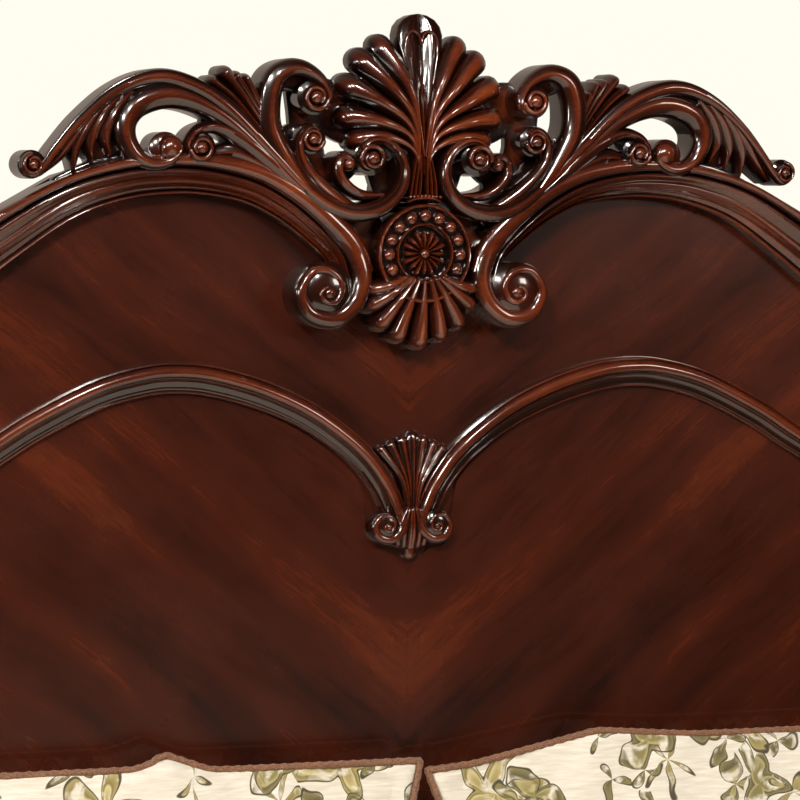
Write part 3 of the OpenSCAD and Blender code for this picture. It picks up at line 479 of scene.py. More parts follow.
sideScroll = [
    # rim over the arch, down to its small curl
    strand([(-118, 52), (-140, 74), (-163, 97), (-211, 142), (-252, 163), (-285, 166), (-320, 152),
            (-352, 126), (-377, 97), (-390, 80), (-400, 71), (-409, 76), (-410, 85), (-402, 88)],
           [6, 10, 12, 15, 17, 17, 17, 16, 14, 12, 11, 10, 8, 6], [44, 48, 48, 48, 47, 44], edge=0.76,
           power=2.2, grooves=[(-0.55, 2.2, 0.1)]),
    eye((-401, 81), 11, 48, 90, 1),
    # big curl round the opening
    strand([(-118, 50), (-142, 70), (-171, 97), (-200, 122), (-223, 137), (-250, 148), (-274, 149),
            (-297, 140), (-308, 124), (-307, 106), (-296, 90), (-279, 83), (-263, 87), (-255, 97),
            (-260, 107)],
           [5, 8, 11, 13, 16, 19, 22, 26, 28, 28, 24, 20, 16, 12, 8], [42, 45, 46, 46, 46, 45, 47], edge=0.68,
           power=2.1, grooves=[(0.45, 2.8, 0.1), (-0.55, 1.8, 0.1)]),
    ball((-264, 99), 12.5, 50, 0.72, 32),
    turned((-268, 97), [(17, 0, 0.3), (17, 34, 0.4), (12, 38, 0.6), (1, 39, 0.6)]),
    # second curl with its broad back
    strand([(-120, 50), (-145, 72), (-171, 95), (-195, 111), (-217, 119), (-236, 115), (-246, 103),
            (-242, 91), (-232, 88), (-225, 95)], [6, 12, 18, 22, 22, 18, 13, 11, 9, 7],
           [40, 44, 46, 45, 44, 46], edge=0.66, power=2.1, grooves=[(-0.2, 2.4, 0.1), (-0.6, 2.2, 0.1),
                                                                    (0.4, 1.6, 0.1)]),
    eye((-234, 99), 13, 48, 180, 1),
    strand([(-118, 48), (-142, 62), (-170, 82), (-198, 94), (-222, 92)], [8, 18, 26, 24, 14],
           [40, 41, 40, 36], edge=0.7, power=2, grooves=[(-0.4, 2.2, 0.12), (0.3, 2.2, 0.12)]),
    # scroll that stands beside the shell
    strand([(-110, 46), (-124, 60), (-147, 89), (-162, 117), (-164, 145), (-158, 167), (-145, 177),
            (-130, 178), (-114, 170), (-104, 157), (-103, 145), (-110, 138), (-120, 142)],
           [6, 12, 19, 24, 26, 25, 25, 24, 20, 16, 12, 9, 7], [42, 47, 48, 48, 47, 46], edge=0.72, power=2.2,
           grooves=[(0.25, 2.0, 0.1), (-0.5, 2.4, 0.09), (0.65, 1.8, 0.08)]),
    eye((-117, 150), 14, 49, 0),
    # recessed grounds behind the blades, behind the fan and inside the curl
    strand([(-300, 138), (-326, 110), (-340, 84)], [20, 42, 40], [20, 22, 18], edge=0.9),
    strand([(-146, 82), (-180, 126), (-206, 158)], [14, 36, 50], [22, 26, 20], edge=0.9),
    strand([(-290, 84), (-335, 74), (-376, 58)], [18, 22, 18], [24, 22], edge=0.95),
    strand([(-226, 126), (-198, 120), (-160, 92)], [22, 30, 24], [14, 14], edge=0.95),
    strand([(-154, 168), (-132, 168), (-112, 160)], [22, 26, 30], [22, 22], edge=0.9),
    strand([(-128, 170), (-118, 140), (-114, 108), (-108, 84)], [24, 34, 34, 22], [10, 10], edge=0.95),
    strand([(-146, 98), (-128, 108), (-112, 112)], [26, 34, 34], [10, 10], edge=0.95),
]
for leaf, w in (([(-300, 156), (-318, 136), (-327, 112), (-320, 88)], (12, 20, 18, 6)),
                ([(-310, 154), (-331, 131), (-341, 106), (-339, 82)], (12, 19, 18, 5)),
                ([(-322, 148), (-344, 124), (-356, 100), (-357, 74)], (10, 17, 17, 5)),
                ([(-336, 136), (-357, 112), (-373, 90), (-392, 70)], (9, 15, 14, 6))):
    sideScroll.append(strand(leaf, w, [44, 45, 40, 28], edge=0.5, power=1.8,
                             grooves=[(0.5, 1.6, 0.13), (-0.2, 1.0, 0.1)]))
for tip, w, top in (((-236, 158), 13, 42), ((-225, 168), 13, 44), ((-212, 178), 16, 46),
                    ((-199, 174), 12, 44), ((-189, 172), 11, 44), ((-181, 162), 10, 43)):
    middle = (0.5*tip[0] - 79, 0.5*tip[1] + 56)
    sideScroll.append(strand([(-134, 66), middle, tip], [5, 9, w], [38, 44, top], edge=0.5, power=1.8,
                             grooves=[(-0.35, 1.4, 0.12)]))
makePair("CrestScroll", join(*sideScroll), "crest_scroll")
print("side scrolls carved")

lobes = [((-9, 140), (-27, 182), (-48, 213), 27, 22, 40), ((-11, 130), (-40, 168), (-71, 197), 29, 24, 42),
         ((-14, 122), (-50, 149), (-88, 168), 31, 30, 44), ((-14, 112), (-50, 128), (-91, 133), 29, 33, 44),
         ((-12, 100), (-42, 112), (-79, 108), 25, 34, 42)]
shell = []
for near, mid, tip, w, drop, top in lobes:
    half = strand([(-3, 74), near, mid, tip], [4, 10, 20, w], [37, 41, top, drop], edge=0.42, power=2.1,
                  across=15, grooves=[(-0.58, 2.4, 0.1), (0.62, 1.6, 0.09)])
    web = strand([(-3, 74), near, (0.85*tip[0] + 1, 0.9*tip[1] - 4)], [6, 22, w], [20, 24, 16], edge=0.9)
    shell += [half, mirrored(half), web, mirrored(web)]
shell += [strand([(0, 62), (0, 110), (0, 170), (0, 236)], [10, 16, 36, 62], [38, 38, 35, 24], edge=0.62,
                 power=2.4, across=21, step=1.8, grooves=[(0, 9, 0.4), (-0.72, 1.6, 0.08),
                                                          (0.72, 1.6, 0.08)]),
          strand([(0, 74), (0, 130), (0, 192)], [2.5, 3.5, 7], [40, 36, 25], edge=0.5, power=2, across=7)]
for k in (1, -1):
    shell.append(strand([(k*0.5, 92), (k*6, 134), (k*12, 172), (k*17, 199), (k*15, 213), (k*8, 218),
                         (k*2, 213), (0, 204)], [3, 3.5, 4, 4.5, 5, 5, 4.5, 4], [41, 41, 38, 33, 29, 27, 27],
                        edge=0.7, across=7))
    for x0, x1 in ((5, 4), (9.5, 7), (14, 10)):
        shell.append(strand([(k*x0, 46), (k*(x0 - 1.5), 66), (k*x1*0.7, 96)], [5, 4.5, 3], [39, 41, 39],
                            edge=0.6, power=2, across=7))
shell.append(strand([(-19, 47), (-8, 51), (8, 51), (19, 47)], [5, 6, 6, 5], [42, 44, 44, 42], edge=0.6,
                    across=7))
for k in range(9):
    shell.append(ball((4*k - 16, 53.5 - 0.05*(k - 4)**2), 2.1, 44, 0.9, 12))
makePiece("CrestShell", join(*shell), "crest_shell")

cx, cz = 0, -4
# glaze and painted shade: 0 on the sunk floors and 1 on the crests of the two rings
rosette = [turned((cx, cz), [(50, 0, 0), (50, 40, 0.3), (49.3, 44, 0.8), (47.8, 45.8, 1), (46.2, 44, 0.7),
                             (45, 39.5, 0), (31, 39.5, 0), (30.6, 43, 0.5), (29.2, 45.4, 1), (27.8, 43, 0.6),
                             (27, 36, 0), (1, 36, 0)], 72)]
for k in range(13):
    a = math.radians(-48 + 23*k)
    rosette.append(ball((cx + 38*math.cos(a), cz + 38*math.sin(a)), 6.7, 47.5, 0.84, 20))
for k in range(16):
    a = 2*math.pi*k/16
    far = 25.5 if k % 2 else 23
    rosette.append(strand([(cx + r*math.cos(a), cz + r*math.sin(a)) for r in (4, 14, far)], [2.5, 6.2, 9.5],
                          [41, 45.5, 42], edge=0.74, power=1.7, across=7))
rosette.append(ball((cx, cz), 5.5, 46.5, 0.86, 20))
makePiece("Medallion", join(*rosette), "medallion")

husks = [strand([(-46, 46), (-60, 12), (-66, -24), (-50, -52)], [30, 34, 34, 26], [12, 14, 14], edge=0.9),
         strand([(46, 46), (60, 12), (66, -24), (50, -52)], [30, 34, 34, 26], [12, 14, 14], edge=0.9),
         strand([(0, -34), (0, -88)], [96, 44], [24, 18], edge=0.9)]
for x0, x1, z1, w, top in ((16, 62, -41, 21, 48), (12, 61, -61, 24, 47), (9, 47, -82, 25, 45),
                           (5, 25, -96, 24, 43)):
    half = strand([(-x0, -26), (-0.6*x1 - 2, 0.5*z1 - 16), (-x1, z1)], [9, 18, w], [47, top + 1, top - 8],
                  edge=0.42, power=2.1, grooves=[(-0.5, 1.6, 0.1), (0.5, 1.6, 0.1)])
    husks += [half, mirrored(half)]
husks.append(strand([(0, -28), (0, -64), (0, -103)], [8, 16, 25], [47, 45, 36], edge=0.42, power=2.1,
                    grooves=[(-0.5, 1.6, 0.1), (0.5, 1.6, 0.1)]))
makePiece("HuskDrop", join(*husks), "husk_drop")
print("shell, medallion and husks carved")

upright = ["head_post_left", "head_post_right", "foot_post_left", "foot_post_right"]
acrossBed = ["head_bottom_rail", "foot_bottom_rail", "foot_cap_rail"]
lengthwise = ["side_rail_left", "side_rail_right", "rail_cap_left", "rail_cap_right", "rail_base_left",
              "rail_base_right"]
for node in upright:
    copyOfNode(node, joineryUp)
for node in acrossBed:
    copyOfNode(node, joineryAlong)
for node in lengthwise:
    copyOfNode(node, joineryRail)
for node in ("head_scroll_buttons", "foot_scroll_buttons", "head_feet", "foot_feet"):
    copyOfNode(node, joineryUp, arris=0.0008)
for node in ("foot_panel", "crest_backing"):
    copyOfNode(node, panelWood)
for node in ("head_panel", "veneer_left", "veneer_right"):
    copyOfNode(node, bookVeneer, arris=0.0)

# The foot's panel leans, so its mouldings follow the back of their own first shape
footTop = 1000*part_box("foot_panel")[1][2]
bead = nodes["foot_bead"].data
corners = np.empty(3*len(bead.vertices))
bead.vertices.foreach_get("co", corners)
corners = 1000*corners.reshape(-1, 3)
levels = np.arange(corners[:, 2].min(), corners[:, 2].max(), 24.0)
lean = []
for level in levels:
    near = corners[np.abs(corners[:, 2] - level) < 14]
    if len(near):
        back = near[near[:, 1].argmax()]
        lean.append((back[2], back[1]))
footFace = tuple(np.array(lean)[np.argsort([z for z, y in lean])].T)
footLine = [(-690, -452), (-690, -350), (-690, -240), (-664, -160), (-600, -110), (-490, -88), (-350, -84),
            (-220, -96), (-120, -128), (-48, -168)]
footArch = moulding(footLine, [13, 13, 13, 9], [13, 13, 13, 9], arch["section"], [0.86])
footBar = moulding([(-703, -451), (0, -451), (703, -451)], [13], [13], arch["section"], [0.86])
makePiece("FootBead", join(footArch, mirrored(footArch), footBar), "foot_bead", footTop, footFace)
footFan = [ball((0, -150), 11, 20, 0.7), strand([(0, -206), (0, -90)], [80, 70], [9, 9], edge=0.9)]
for tip in ((-18, -76), (-44, -96), (-56, -128), (-50, -160), (-34, -192), (-12, -210)):
    petal = strand([(0, -150), (0.55*tip[0], 0.55*tip[1] - 64), tip], [7, 15, 22], [19, 19.5, 14], edge=0.45,
                   power=2.1, grooves=[(-0.5, 1.4, 0.12), (0.5, 1.4, 0.12)])
    footFan += [petal, mirrored(petal)]
makePiece("FootCartouche", join(*footFan), "foot_cartouche", footTop, footFace)

# poplar, planed and varnished: pale and plain on the slats, and stained a dull brown on the legs
poplar = lacqueredWood("planed poplar", [(0.0, "#8d6f49"), (0.5, "#b08f63"), (1.0, "#c9ab7e")], cloud=0.2)
stainedPoplar = lacqueredWood("poplar stained brown", [(0.0, "#3a2415"), (0.5, "#5d3d25"), (1.0, "#7a5535")],
                          turn=(0, math.pi/2, 0), cloud=0.2)


def plainFinish(name, tint, metallic, rough):
    # Zinc-plated steel with a faint spangle, or moulded rubber with a matt, slightly pitted skin
    material, tree = newMaterial(name)
    where = addNode(tree, "TexCoord").outputs["Object"]
    noise = addNode(tree, "TexNoise", {"Vector": where, "Scale": 180.0, "Detail": 3.0})
    wear = addNode(tree, "Math", {0: noise.outputs[0], 1: 0.25, 2: rough - 0.12}, operation="MULTIPLY_ADD")
    bump = addNode(tree, "Bump", {"Height": noise.outputs[0], "Strength": 0.2, "Distance": 0.0003})
    surface(tree, addNode(tree, "BsdfPrincipled", {"Base Color": colour(tint), "Metallic": metallic,
                                                   "Roughness": wear.outputs[0], "Normal": bump.outputs[0]}))
    return material


zincSteel = plainFinish("zinc-plated steel", "#b4b6b8", 1.0, 0.34)
blackRubber = plainFinish("black rubber", "#1b1b1c", 0.0, 0.7)
for node, slot in slotOf.items():
    if node.startswith(("slat_", "ledgers")) and node != "slat_screws":
        copyOfNode(node, poplar)
    elif node.startswith("support_leg"):
        copyOfNode(node, stainedPoplar)
    elif node == "head_battens":
        copyOfNode(node, joineryAlong)
    elif slot in ("zinc_steel", "black_rubber"):
        finish = zincSteel if slot == "zinc_steel" else blackRubber
        mesh = nodes[node].data
        if mesh.materials:
            for k in range(len(mesh.materials)):
                mesh.materials[k] = finish
        else:
            mesh.materials.append(finish)


def fabric(name, base, weave, pattern=False):
    # Slub cloth, woven from uneven yarn: dry and matt, with raised threads about 1.2 mm apart, coarser than
    # real ones so that they show. The sham cloth has a print of leaves and flowers.
    material, tree = newMaterial(name)
    where = addNode(tree, "TexCoord").outputs["Object"]
    slub = addNode(tree, "Mapping", {0: where, "Scale": (40, 40, 400)})
    slubNoise = addNode(tree, "TexNoise", {"Vector": slub.outputs[0], "Scale": 1.0, "Detail": 3.0})
    cloth = addNode(tree, "ValToRGB", {0: slubNoise.outputs[0]}, base)
    shade = cloth.outputs[0]
    if pattern:
        for scale, seed, petals, stops in ((10.5, 0.0, 5, ["#b7a469", "#84783f", "#d8cb9a"]),
                                           (16.0, 7.3, 3, ["#8f8450", "#5f5838", "#bfb27c"])):
            wobble = addNode(tree, "TexNoise", {"Vector": where, "Scale": 14.0, "Detail": 2.0})
            moved = addNode(tree, "VectorMath", {0: wobble.outputs["Color"], 1: (0.06, 0, 0.06), 2: where},
                            operation="MULTIPLY_ADD")
            flat = addNode(tree, "Mapping", {0: moved.outputs[0], "Location": (seed, 0, seed),
                                             "Scale": (1, 0, 1)})
            cell = addNode(tree, "TexVoronoi", {"Vector": flat.outputs[0], "Scale": scale, "Randomness": 0.8})
            away = addNode(tree, "VectorMath", {0: flat.outputs[0], 1: cell.outputs["Position"]},
                           operation="SUBTRACT")
            parts = addNode(tree, "SeparateXYZ", {0: away.outputs[0]})
            angle = addNode(tree, "Math", {0: parts.outputs[2], 1: parts.outputs[0]}, operation="ARCTAN2")
            turns = addNode(tree, "Math", {0: angle.outputs[0], 1: float(petals), 2: cell.outputs[0]},
                            operation="MULTIPLY_ADD")
            lobe = addNode(tree, "Math", {0: turns.outputs[0]}, operation="COSINE")
            edge = addNode(tree, "Math", {0: lobe.outputs[0], 1: 0.16, 2: 0.43}, operation="MULTIPLY_ADD")
            inside = addNode(tree, "Math", {0: edge.outputs[0], 1: cell.outputs[0]}, operation="SUBTRACT")
            line = addNode(tree, "ValToRGB", {0: inside.outputs[0]},
                           [(0.0, "#000000"), (0.012, "#ffffff"), (0.03, "#ffffff"), (0.045, "#000000")])
            fill = addNode(tree, "ValToRGB", {0: inside.outputs[0]}, [(0.0, "#000000"), (0.01, "#ffffff")])
            tints = addNode(tree, "ValToRGB", {0: inside.outputs[0]},
                            [(0.04, stops[0]), (0.14, stops[1]), (0.18, stops[2]), (0.3, stops[0])])
            vein = addNode(tree, "TexNoise", {"Vector": flat.outputs[0], "Scale": 60.0, "Detail": 3.0})
            patchy = addNode(tree, "ValToRGB", {0: vein.outputs[0]}, [(0.38, "#404040"), (0.5, "#ffffff")])
            much = addNode(tree, "Math", {0: fill.outputs[0], 1: patchy.outputs[0]}, operation="MULTIPLY")
            mixed = addNode(tree, "Mix", {0: much.outputs[0], 6: shade, 7: tints.outputs[0]},
                            data_type="RGBA")
            shade = addNode(tree, "Mix", {0: line.outputs[0], 6: mixed.outputs[2], 7: colour("#4a4433")},
                            data_type="RGBA").outputs[2]
    threads = addNode(tree, "Mapping", {0: where, "Scale": (weave, weave, weave)})
    warp = addNode(tree, "TexWave", {"Vector": threads.outputs[0], "Scale": 1.0, "Distortion": 1.0},
                   wave_type="BANDS", bands_direction="X")
    weft = addNode(tree, "TexWave", {"Vector": threads.outputs[0], "Scale": 1.0, "Distortion": 1.0},
                   wave_type="BANDS", bands_direction="Z")
    both = addNode(tree, "Math", {0: warp.outputs[0], 1: weft.outputs[0]}, operation="MAXIMUM")
    raised = addNode(tree, "Math", {0: slubNoise.outputs[0], 1: 1.5, 2: both.outputs[0]},
                     operation="MULTIPLY_ADD")
    bump = addNode(tree, "Bump", {"Height": raised.outputs[0], "Strength": 0.5, "Distance": 0.0008})
    shader = addNode(tree, "BsdfPrincipled", {"Base Color": shade, "Roughness": 0.82, "Sheen Weight": 0.25,
                                              "Normal": bump.outputs[0]})
    surface(tree, shader)
    return material


shamCloth = fabric("printed slub sham cloth", [(0.3, "#e6ddcb"), (0.7, "#faf5ea")], 260, True)
tickingCloth = fabric("cream mattress ticking", [(0.3, "#e2ddd0"), (0.7, "#f1ede3")], 260)
# polyester cord, twisted from brown strands: dull, with a soft sheen and fine dark lines
cordMaterial, tree = newMaterial("twisted brown cord")
strands = addNode(tree, "TexNoise", {"Vector": addNode(tree, "TexCoord").outputs["Object"], "Scale": 700.0})
browns = addNode(tree, "ValToRGB", {0: strands.outputs[0]}, [(0.35, "#5e3a25"), (0.65, "#9a6a48")])
surface(tree, addNode(tree, "BsdfPrincipled", {"Base Color": browns.outputs[0], "Roughness": 0.7,
                                               "Sheen Weight": 0.3}))


def tube(path, radius, flatNormal, sides=12, lobes=0, pitch=0.012):
    # Round cord along a closed 3-D path, its radius rippling like a rope of a few strands
    path = np.array(path)
    step = np.roll(path, -1, 0) - np.roll(path, 1, 0)
    step /= np.linalg.norm(step, axis=1)[:, None]
    out = np.cross(step, flatNormal)
    out /= np.linalg.norm(out, axis=1)[:, None]
    up = np.cross(out, step)
    run = np.concatenate([[0], np.cumsum(np.linalg.norm(np.diff(path, axis=0), axis=1))])
    a = np.linspace(0, 2*math.pi, sides, endpoint=False)[None, :]
    turns = round(run[-1]/pitch)*2*math.pi/run[-1]
    r = radius*(1 + (0.16*np.cos(lobes*a + turns*run[:, None]) if lobes else 0*a))
    ring = path[:, None, :] + (r*np.cos(a))[..., None]*out[:, None, :] + (r*np.sin(a))[..., None]*up[:, None,
                                                                                                     :]
    faces = gridFaces(len(path) + 1, sides)
    return ring.reshape(-1, 3), [[k % (len(path)*sides) for k in face] for face in faces]


def evenly(loop, gap):
    # Points of a closed loop spaced evenly
    loop = np.vstack([loop, loop[:1]])
    run = np.concatenate([[0], np.cumsum(np.linalg.norm(np.diff(loop, axis=0), axis=1))])
    at = np.linspace(0, run[-1], int(run[-1]/gap), endpoint=False)
    return np.stack([np.interp(at, run, loop[:, k]) for k in range(3)], 1)


def plainPiece(name, points, faces, body, material, replaced=(), sharp=180):
    mesh = bpy.data.meshes.new(name)
    mesh.from_pydata(points.tolist(), [], faces)
    return finishPiece(name, mesh, body, material, replaced, sharp)


def inflate(piece, pressure, cap):
    # Cloth blown up from its flat start, no point moving further than cap
    start = np.empty(3*len(piece.data.vertices))
    piece.data.vertices.foreach_get("co", start)
    cloth = piece.modifiers.new("stuffing", "CLOTH")
    cloth.settings.quality = 6
    cloth.settings.mass = 0.25
    cloth.settings.tension_stiffness = 30
    cloth.settings.compression_stiffness = 30
    cloth.settings.bending_stiffness = 0.3
    cloth.settings.use_pressure = True
    cloth.settings.uniform_pressure_force = pressure
    cloth.settings.effector_weights.gravity = 0
    cloth.point_cache.frame_end = 20
    for frameNumber in range(1, 21):
        bpy.context.scene.frame_set(frameNumber)
    swollen = piece.evaluated_get(bpy.context.evaluated_depsgraph_get()).data
    end = np.empty_like(start)
    swollen.vertices.foreach_get("co", end)
    piece.modifiers.remove(cloth)
    bpy.context.scene.frame_set(1)
    move = (end - start).reshape(-1, 3)
    far = np.linalg.norm(move, axis=1)
    place = start.reshape(-1, 3) + move*np.minimum(1, cap/np.maximum(far, 1e-9))[:, None]
    piece.data.vertices.foreach_set("co", place.ravel())
    piece.data.update()
    return place


# Square sham: two grids that share their rim, leaning back on the panel, with a rope cord in the seam
pillow = {"lean": math.radians(14), "across": 79, "up": 55, "cord": 0.0035, "cordStep": 0.0022, "room": 0.025,
          "plump": 0.78, "waist": 0.04, "dip": 0.03, "lift": 0.028, "crease": 0.0035, "pressure": 4.0,
          "swell": 0.024}


def makePillow(name, node, sag):
    lo, hi = np.array(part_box(node)[0]), np.array(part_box(node)[1])
    middle, (halfX, reach, rise) = (lo + hi)/2, (hi - lo)/2
    c, n = math.cos(pillow["lean"]), math.sin(pillow["lean"])
    halfUp = math.sqrt((rise**2*c**2 - reach**2*n**2)/math.cos(2*pillow["lean"]))
    halfThick = math.sqrt((reach**2 - (halfUp*n)**2))/c
    a, b = np.meshgrid(np.linspace(-1, 1, pillow["across"]), np.linspace(-1, 1, pillow["up"]), indexing="ij")
    x = (halfX + pillow["room"])*a*(1 - pillow["waist"]*(1 - b**2))
    up = halfUp*b*(1 - pillow["dip"]*(1 - a**2))
    up = up + (pillow["lift"] - np.interp(middle[0] + x, *sag))*(0.5 + 0.5*b)
    thick = pillow["plump"]*halfThick*((1 - a**2)*(1 - b**2))**0.42
    shiver = pillow["crease"]*np.sin(23*x/halfX + 5*up/halfUp)*np.sin(17*up/halfUp - 3*a)*(1 - (a*b)**2)
    sheets = []
    for side in (1, -1):
        t = side*thick + shiver*(np.abs(a) < 1)*(np.abs(b) < 1)
        sheets.append(np.stack([middle[0] + x, middle[1] + up*n - t*c, middle[2] + up*c + t*n],
                               -1).reshape(-1, 3))
    rows, cols = a.shape
    rim = (np.abs(a) == 1) | (np.abs(b) == 1)
    index = np.arange(rows*cols).reshape(rows, cols)
    back = index.copy()
    back[~rim] = rows*cols + np.arange((~rim).sum())
    faces = gridFaces(rows, cols, False)
    points = np.vstack([sheets[0], sheets[1].reshape(rows, cols, 3)[~rim]])
    flatBack = back.ravel()
    faces += [[int(flatBack[k]) for k in face[::-1]] for face in faces]
    piece = plainPiece(name, points, faces, node, shamCloth, [node])
    place = inflate(piece, pillow["pressure"], pillow["swell"])
    fine = piece.modifiers.new("softness", "SUBSURF")
    fine.levels = fine.render_levels = 1
    loop = np.concatenate([index[:, 0], index[-1, 1:], index[-2::-1, -1], index[0, -2:0:-1]])
    cordPath = evenly(place[loop], pillow["cordStep"])
    points, faces = tube(cordPath, pillow["cord"], np.array([0, c, -n]), 12, 3)
    plainPiece(name + "Cord", points, faces, node, cordMaterial)


# how far each top edge sags, at places across the bed
leftSag = ([-0.75, -0.30, -0.265, -0.22, 0.0], [0.0, 0.006, -0.006, 0.012, 0.022])
rightSag = ([0.0, 0.05, 0.19, 0.30, 0.75], [0.032, 0.026, -0.004, 0.004, 0.01])
makePillow("PillowLeft", "pillow_left", leftSag)
makePillow("PillowRight", "pillow_right", rightSag)
print("pillows stuffed")

# Mattress: rounded rings from the underside's middle, up the border and in over the quilted top
mattressLow, mattressHigh = (np.array(corner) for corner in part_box("mattress"))
mattress = {"corner": 0.07, "edge": 0.03, "diamond": 0.13, "quilt": 0.006, "bulge": 0.004, "piping": 0.0055,
            "points": 340}
middle, half = (mattressLow + mattressHigh)/2, (mattressHigh - mattressLow)/2


def roundedRing(inset):
    r = max(mattress["corner"] - inset, 0.012)
    parts = []
    quarter = np.linspace(0, math.pi/2, 14)
    for k, (sx, sy) in enumerate(((1, 1), (-1, 1), (-1, -1), (1, -1))):
        a = quarter + k*math.pi/2
        centre = np.array([sx, sy])*(half[:2] - inset - r)
        parts.append(centre + r*np.stack([np.cos(a), np.sin(a)], 1))
    ring = np.vstack(parts)
    ring = evenly(np.column_stack([ring, 0*ring[:, 0]]), 0.001)
    pick = np.linspace(0, len(ring), mattress["points"], endpoint=False).astype(int)
    return ring[pick, :2]


rings, heights = [], []
rim = roundedRing(mattress["edge"])
shares = np.linspace(0.01, 1, 62)
for k in shares:
    rings.append(rim*k)
    heights.append(-half[2])
for a in np.linspace(0.1, math.pi/2, 7):
    rings.append(roundedRing(mattress["edge"]*(1 - math.sin(a))))
    heights.append(-half[2] + mattress["edge"]*(1 - math.cos(a)))
for h in np.linspace(-1, 1, 22)[1:-1]:
    rings.append(roundedRing(mattress["bulge"]*abs(math.sin(3*math.pi*h/2))))
    heights.append(h*(half[2] - mattress["edge"]))
for a in np.linspace(math.pi/2, 0.1, 7):
    rings.append(roundedRing(mattress["edge"]*(1 - math.sin(a))))
    heights.append(half[2] - mattress["edge"]*(1 - math.cos(a)))
for k in shares[::-1]:
    rings.append(rim*k)
    heights.append(half[2])
rings, heights = np.array(rings), np.array(heights)[:, None]
u = (rings[..., 0] + rings[..., 1])/mattress["diamond"]
v = (rings[..., 0] - rings[..., 1])/mattress["diamond"]
puff = np.abs(np.sin(math.pi*u)*np.sin(math.pi*v))**0.5
inward = 1 - np.clip((np.max(np.abs(rings)/half[:2], axis=2) - 0.93)/0.05, 0, 1)
heights = heights - np.sign(heights)*(np.abs(heights) > half[2] - 1e-6)*mattress["quilt"]*(1 - puff)*inward
points = np.concatenate([middle[:2] + rings, (middle[2] + heights)[..., None]], -1).reshape(-1, 3)
rows, cols = heights.shape
faces = gridFaces(rows, cols) + [list(range(cols)), list(range((rows - 1)*cols, rows*cols))[::-1]]
mattressPiece = plainPiece("Mattress", points, faces, "mattress", tickingCloth, ["mattress"], 60)
for name, side in (("MattressPipingTop", 1), ("MattressPipingBottom", -1)):
    ring = roundedRing(mattress["bulge"])
    z = np.full(len(ring), middle[2] + side*(half[2] - 0.02))
    points, faces = tube(np.column_stack([middle[:2] + ring, z]), mattress["piping"], np.array([0, 0, 1.0]),
                         10)
    plainPiece(name, points, faces, "mattress", cordMaterial)
print("mattress quilted")

# painted floor, rolled matt: pale to look at, and darker where the lacquer mirrors it
floorMaterial, tree = newMaterial("pale studio floor")
seenIn = addNode(tree, "LightPath").outputs["Is Glossy Ray"]
floorTint = addNode(tree, "Mix", {0: seenIn, 6: colour("#e9e4d8"), 7: colour("#4d453d")}, data_type="RGBA")
surface(tree, addNode(tree, "BsdfPrincipled", {"Base Color": floorTint.outputs[2], "Roughness": 0.7}))
mesh = bpy.data.meshes.new("Floor")
mesh.from_pydata([(-6, -6, 0), (6, -6, 0), (6, 6, 0), (-6, 6, 0)], [], [(0, 1, 2, 3)])
mesh.materials.append(floorMaterial)
floor = bpy.data.objects.new("Floor", mesh)
bpy.context.collection.objects.link(floor)


def softbox(name, place, aim, size, power, tint, glossy=True, diffuse=True):
    light = bpy.data.lights.new(name, "AREA")
    light.shape = "RECTANGLE"
    light.size, light.size_y = size
    light.energy = power
    light.color = colour(tint)[:3]
    lamp = bpy.data.objects.new(name, light)
    lamp.location = place
    lamp.rotation_euler = (Vector(aim) - lamp.location).to_track_quat("-Z", "Y").to_euler()
    lamp.visible_camera = False
    lamp.visible_glossy = glossy
    lamp.visible_diffuse = diffuse
    bpy.context.collection.objects.link(lamp)


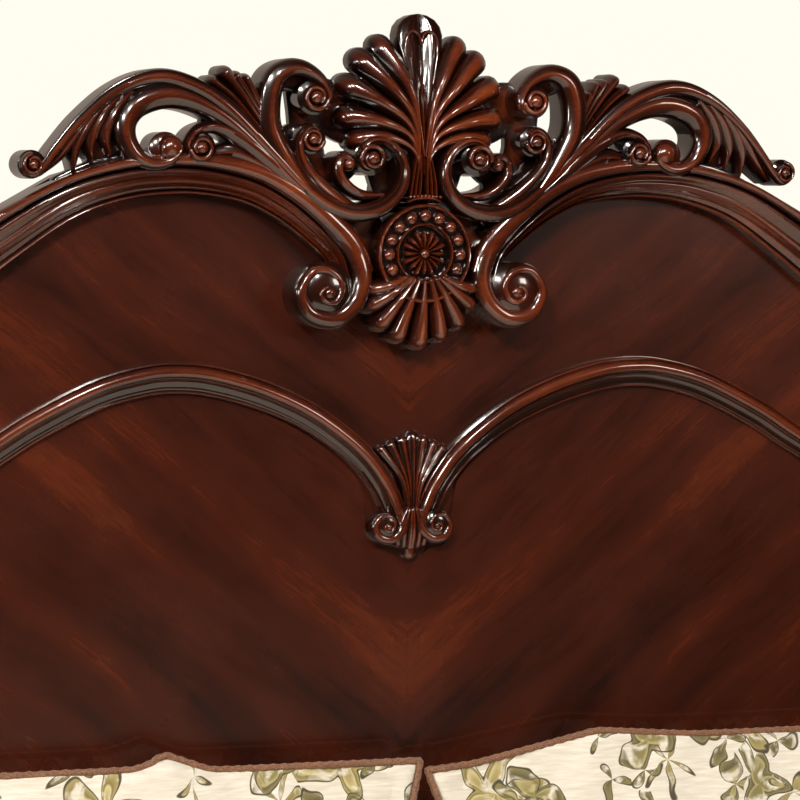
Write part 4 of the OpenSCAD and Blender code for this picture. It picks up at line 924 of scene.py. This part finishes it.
# Small hard lights make the glints on the lacquer, and large soft ones light the cloth and the back
crestPlace = (0, crestY/1000, crestZ/1000)
softbox("KeyLight", (-1.7, -1.5, 3.2), crestPlace, (0.45, 0.45), 75, "#fff6ea")
softbox("FillLight", (2.2, -2.4, 2.6), crestPlace, (0.8, 0.8), 28, "#fff4e6")
softbox("EdgeLight", (-2.6, 0.4, 1.75), crestPlace, (0.25, 0.5), 16, "#fff8f0")
for name, place in (("GlintLeft", (-2.3, -0.9, 2.5)), ("GlintHigh", (-0.5, -1.3, 3.3))):
    softbox(name, place, crestPlace, (0.34, 0.34), 36, "#fff9f0", True, False)
softbox("TopLight", (0, -0.6, 3.6), (0, 0.2, 0.5), (2.4, 2.6), 55, "#fffaf0", False)

# The lacquer mirrors a room that is dark at the foot and pale behind the head; the camera sees cream
world = bpy.data.worlds.new("studio")
bpy.context.scene.world = world
world.use_nodes = True
tree = world.node_tree
tree.nodes.clear()
direction = addNode(tree, "TexCoord").outputs["Generated"]
northward = addNode(tree, "SeparateXYZ", {0: direction}).outputs[1]
share = addNode(tree, "MapRange", {0: northward, 1: -0.3, 2: 0.6, 3: 0.0, 4: 1.0})
glow = addNode(tree, "ValToRGB", {0: share.outputs[0]}, [(0, "#1f1b18"), (1, "#a39488")])
room = addNode(tree, "Background", {0: glow.outputs[0], 1: 1.0})
backdrop = addNode(tree, "Background", {0: colour("#fffdf0"), 1: 1.0})
seen = addNode(tree, "LightPath").outputs["Is Camera Ray"]
mix = addNode(tree, "MixShader", {0: seen, 1: room.outputs[0], 2: backdrop.outputs[0]})
tree.links.new(mix.outputs[0], addNode(tree, "OutputWorld").inputs["Surface"])
bpy.context.scene.view_settings.view_transform = "Standard"

camera = {"place": (-1.075, -1.781, 1.64), "yaw": 20.496, "pitch": -4.30, "roll": 0.6, "lens": 135}
lens = bpy.data.cameras.new("Camera")
lens.lens = camera["lens"]
lens.sensor_width = 36
viewer = bpy.data.objects.new("Camera", lens)
bpy.context.collection.objects.link(viewer)
viewer.matrix_world = (Matrix.Translation(camera["place"]) @ Matrix.Rotation(math.radians(-camera["yaw"]), 4,
                                                                             "Z")
                       @ Matrix.Rotation(math.radians(90 + camera["pitch"]), 4, "X")
                       @ Matrix.Rotation(math.radians(camera["roll"]), 4, "Z"))
bpy.context.scene.camera = viewer
print("studio ready")
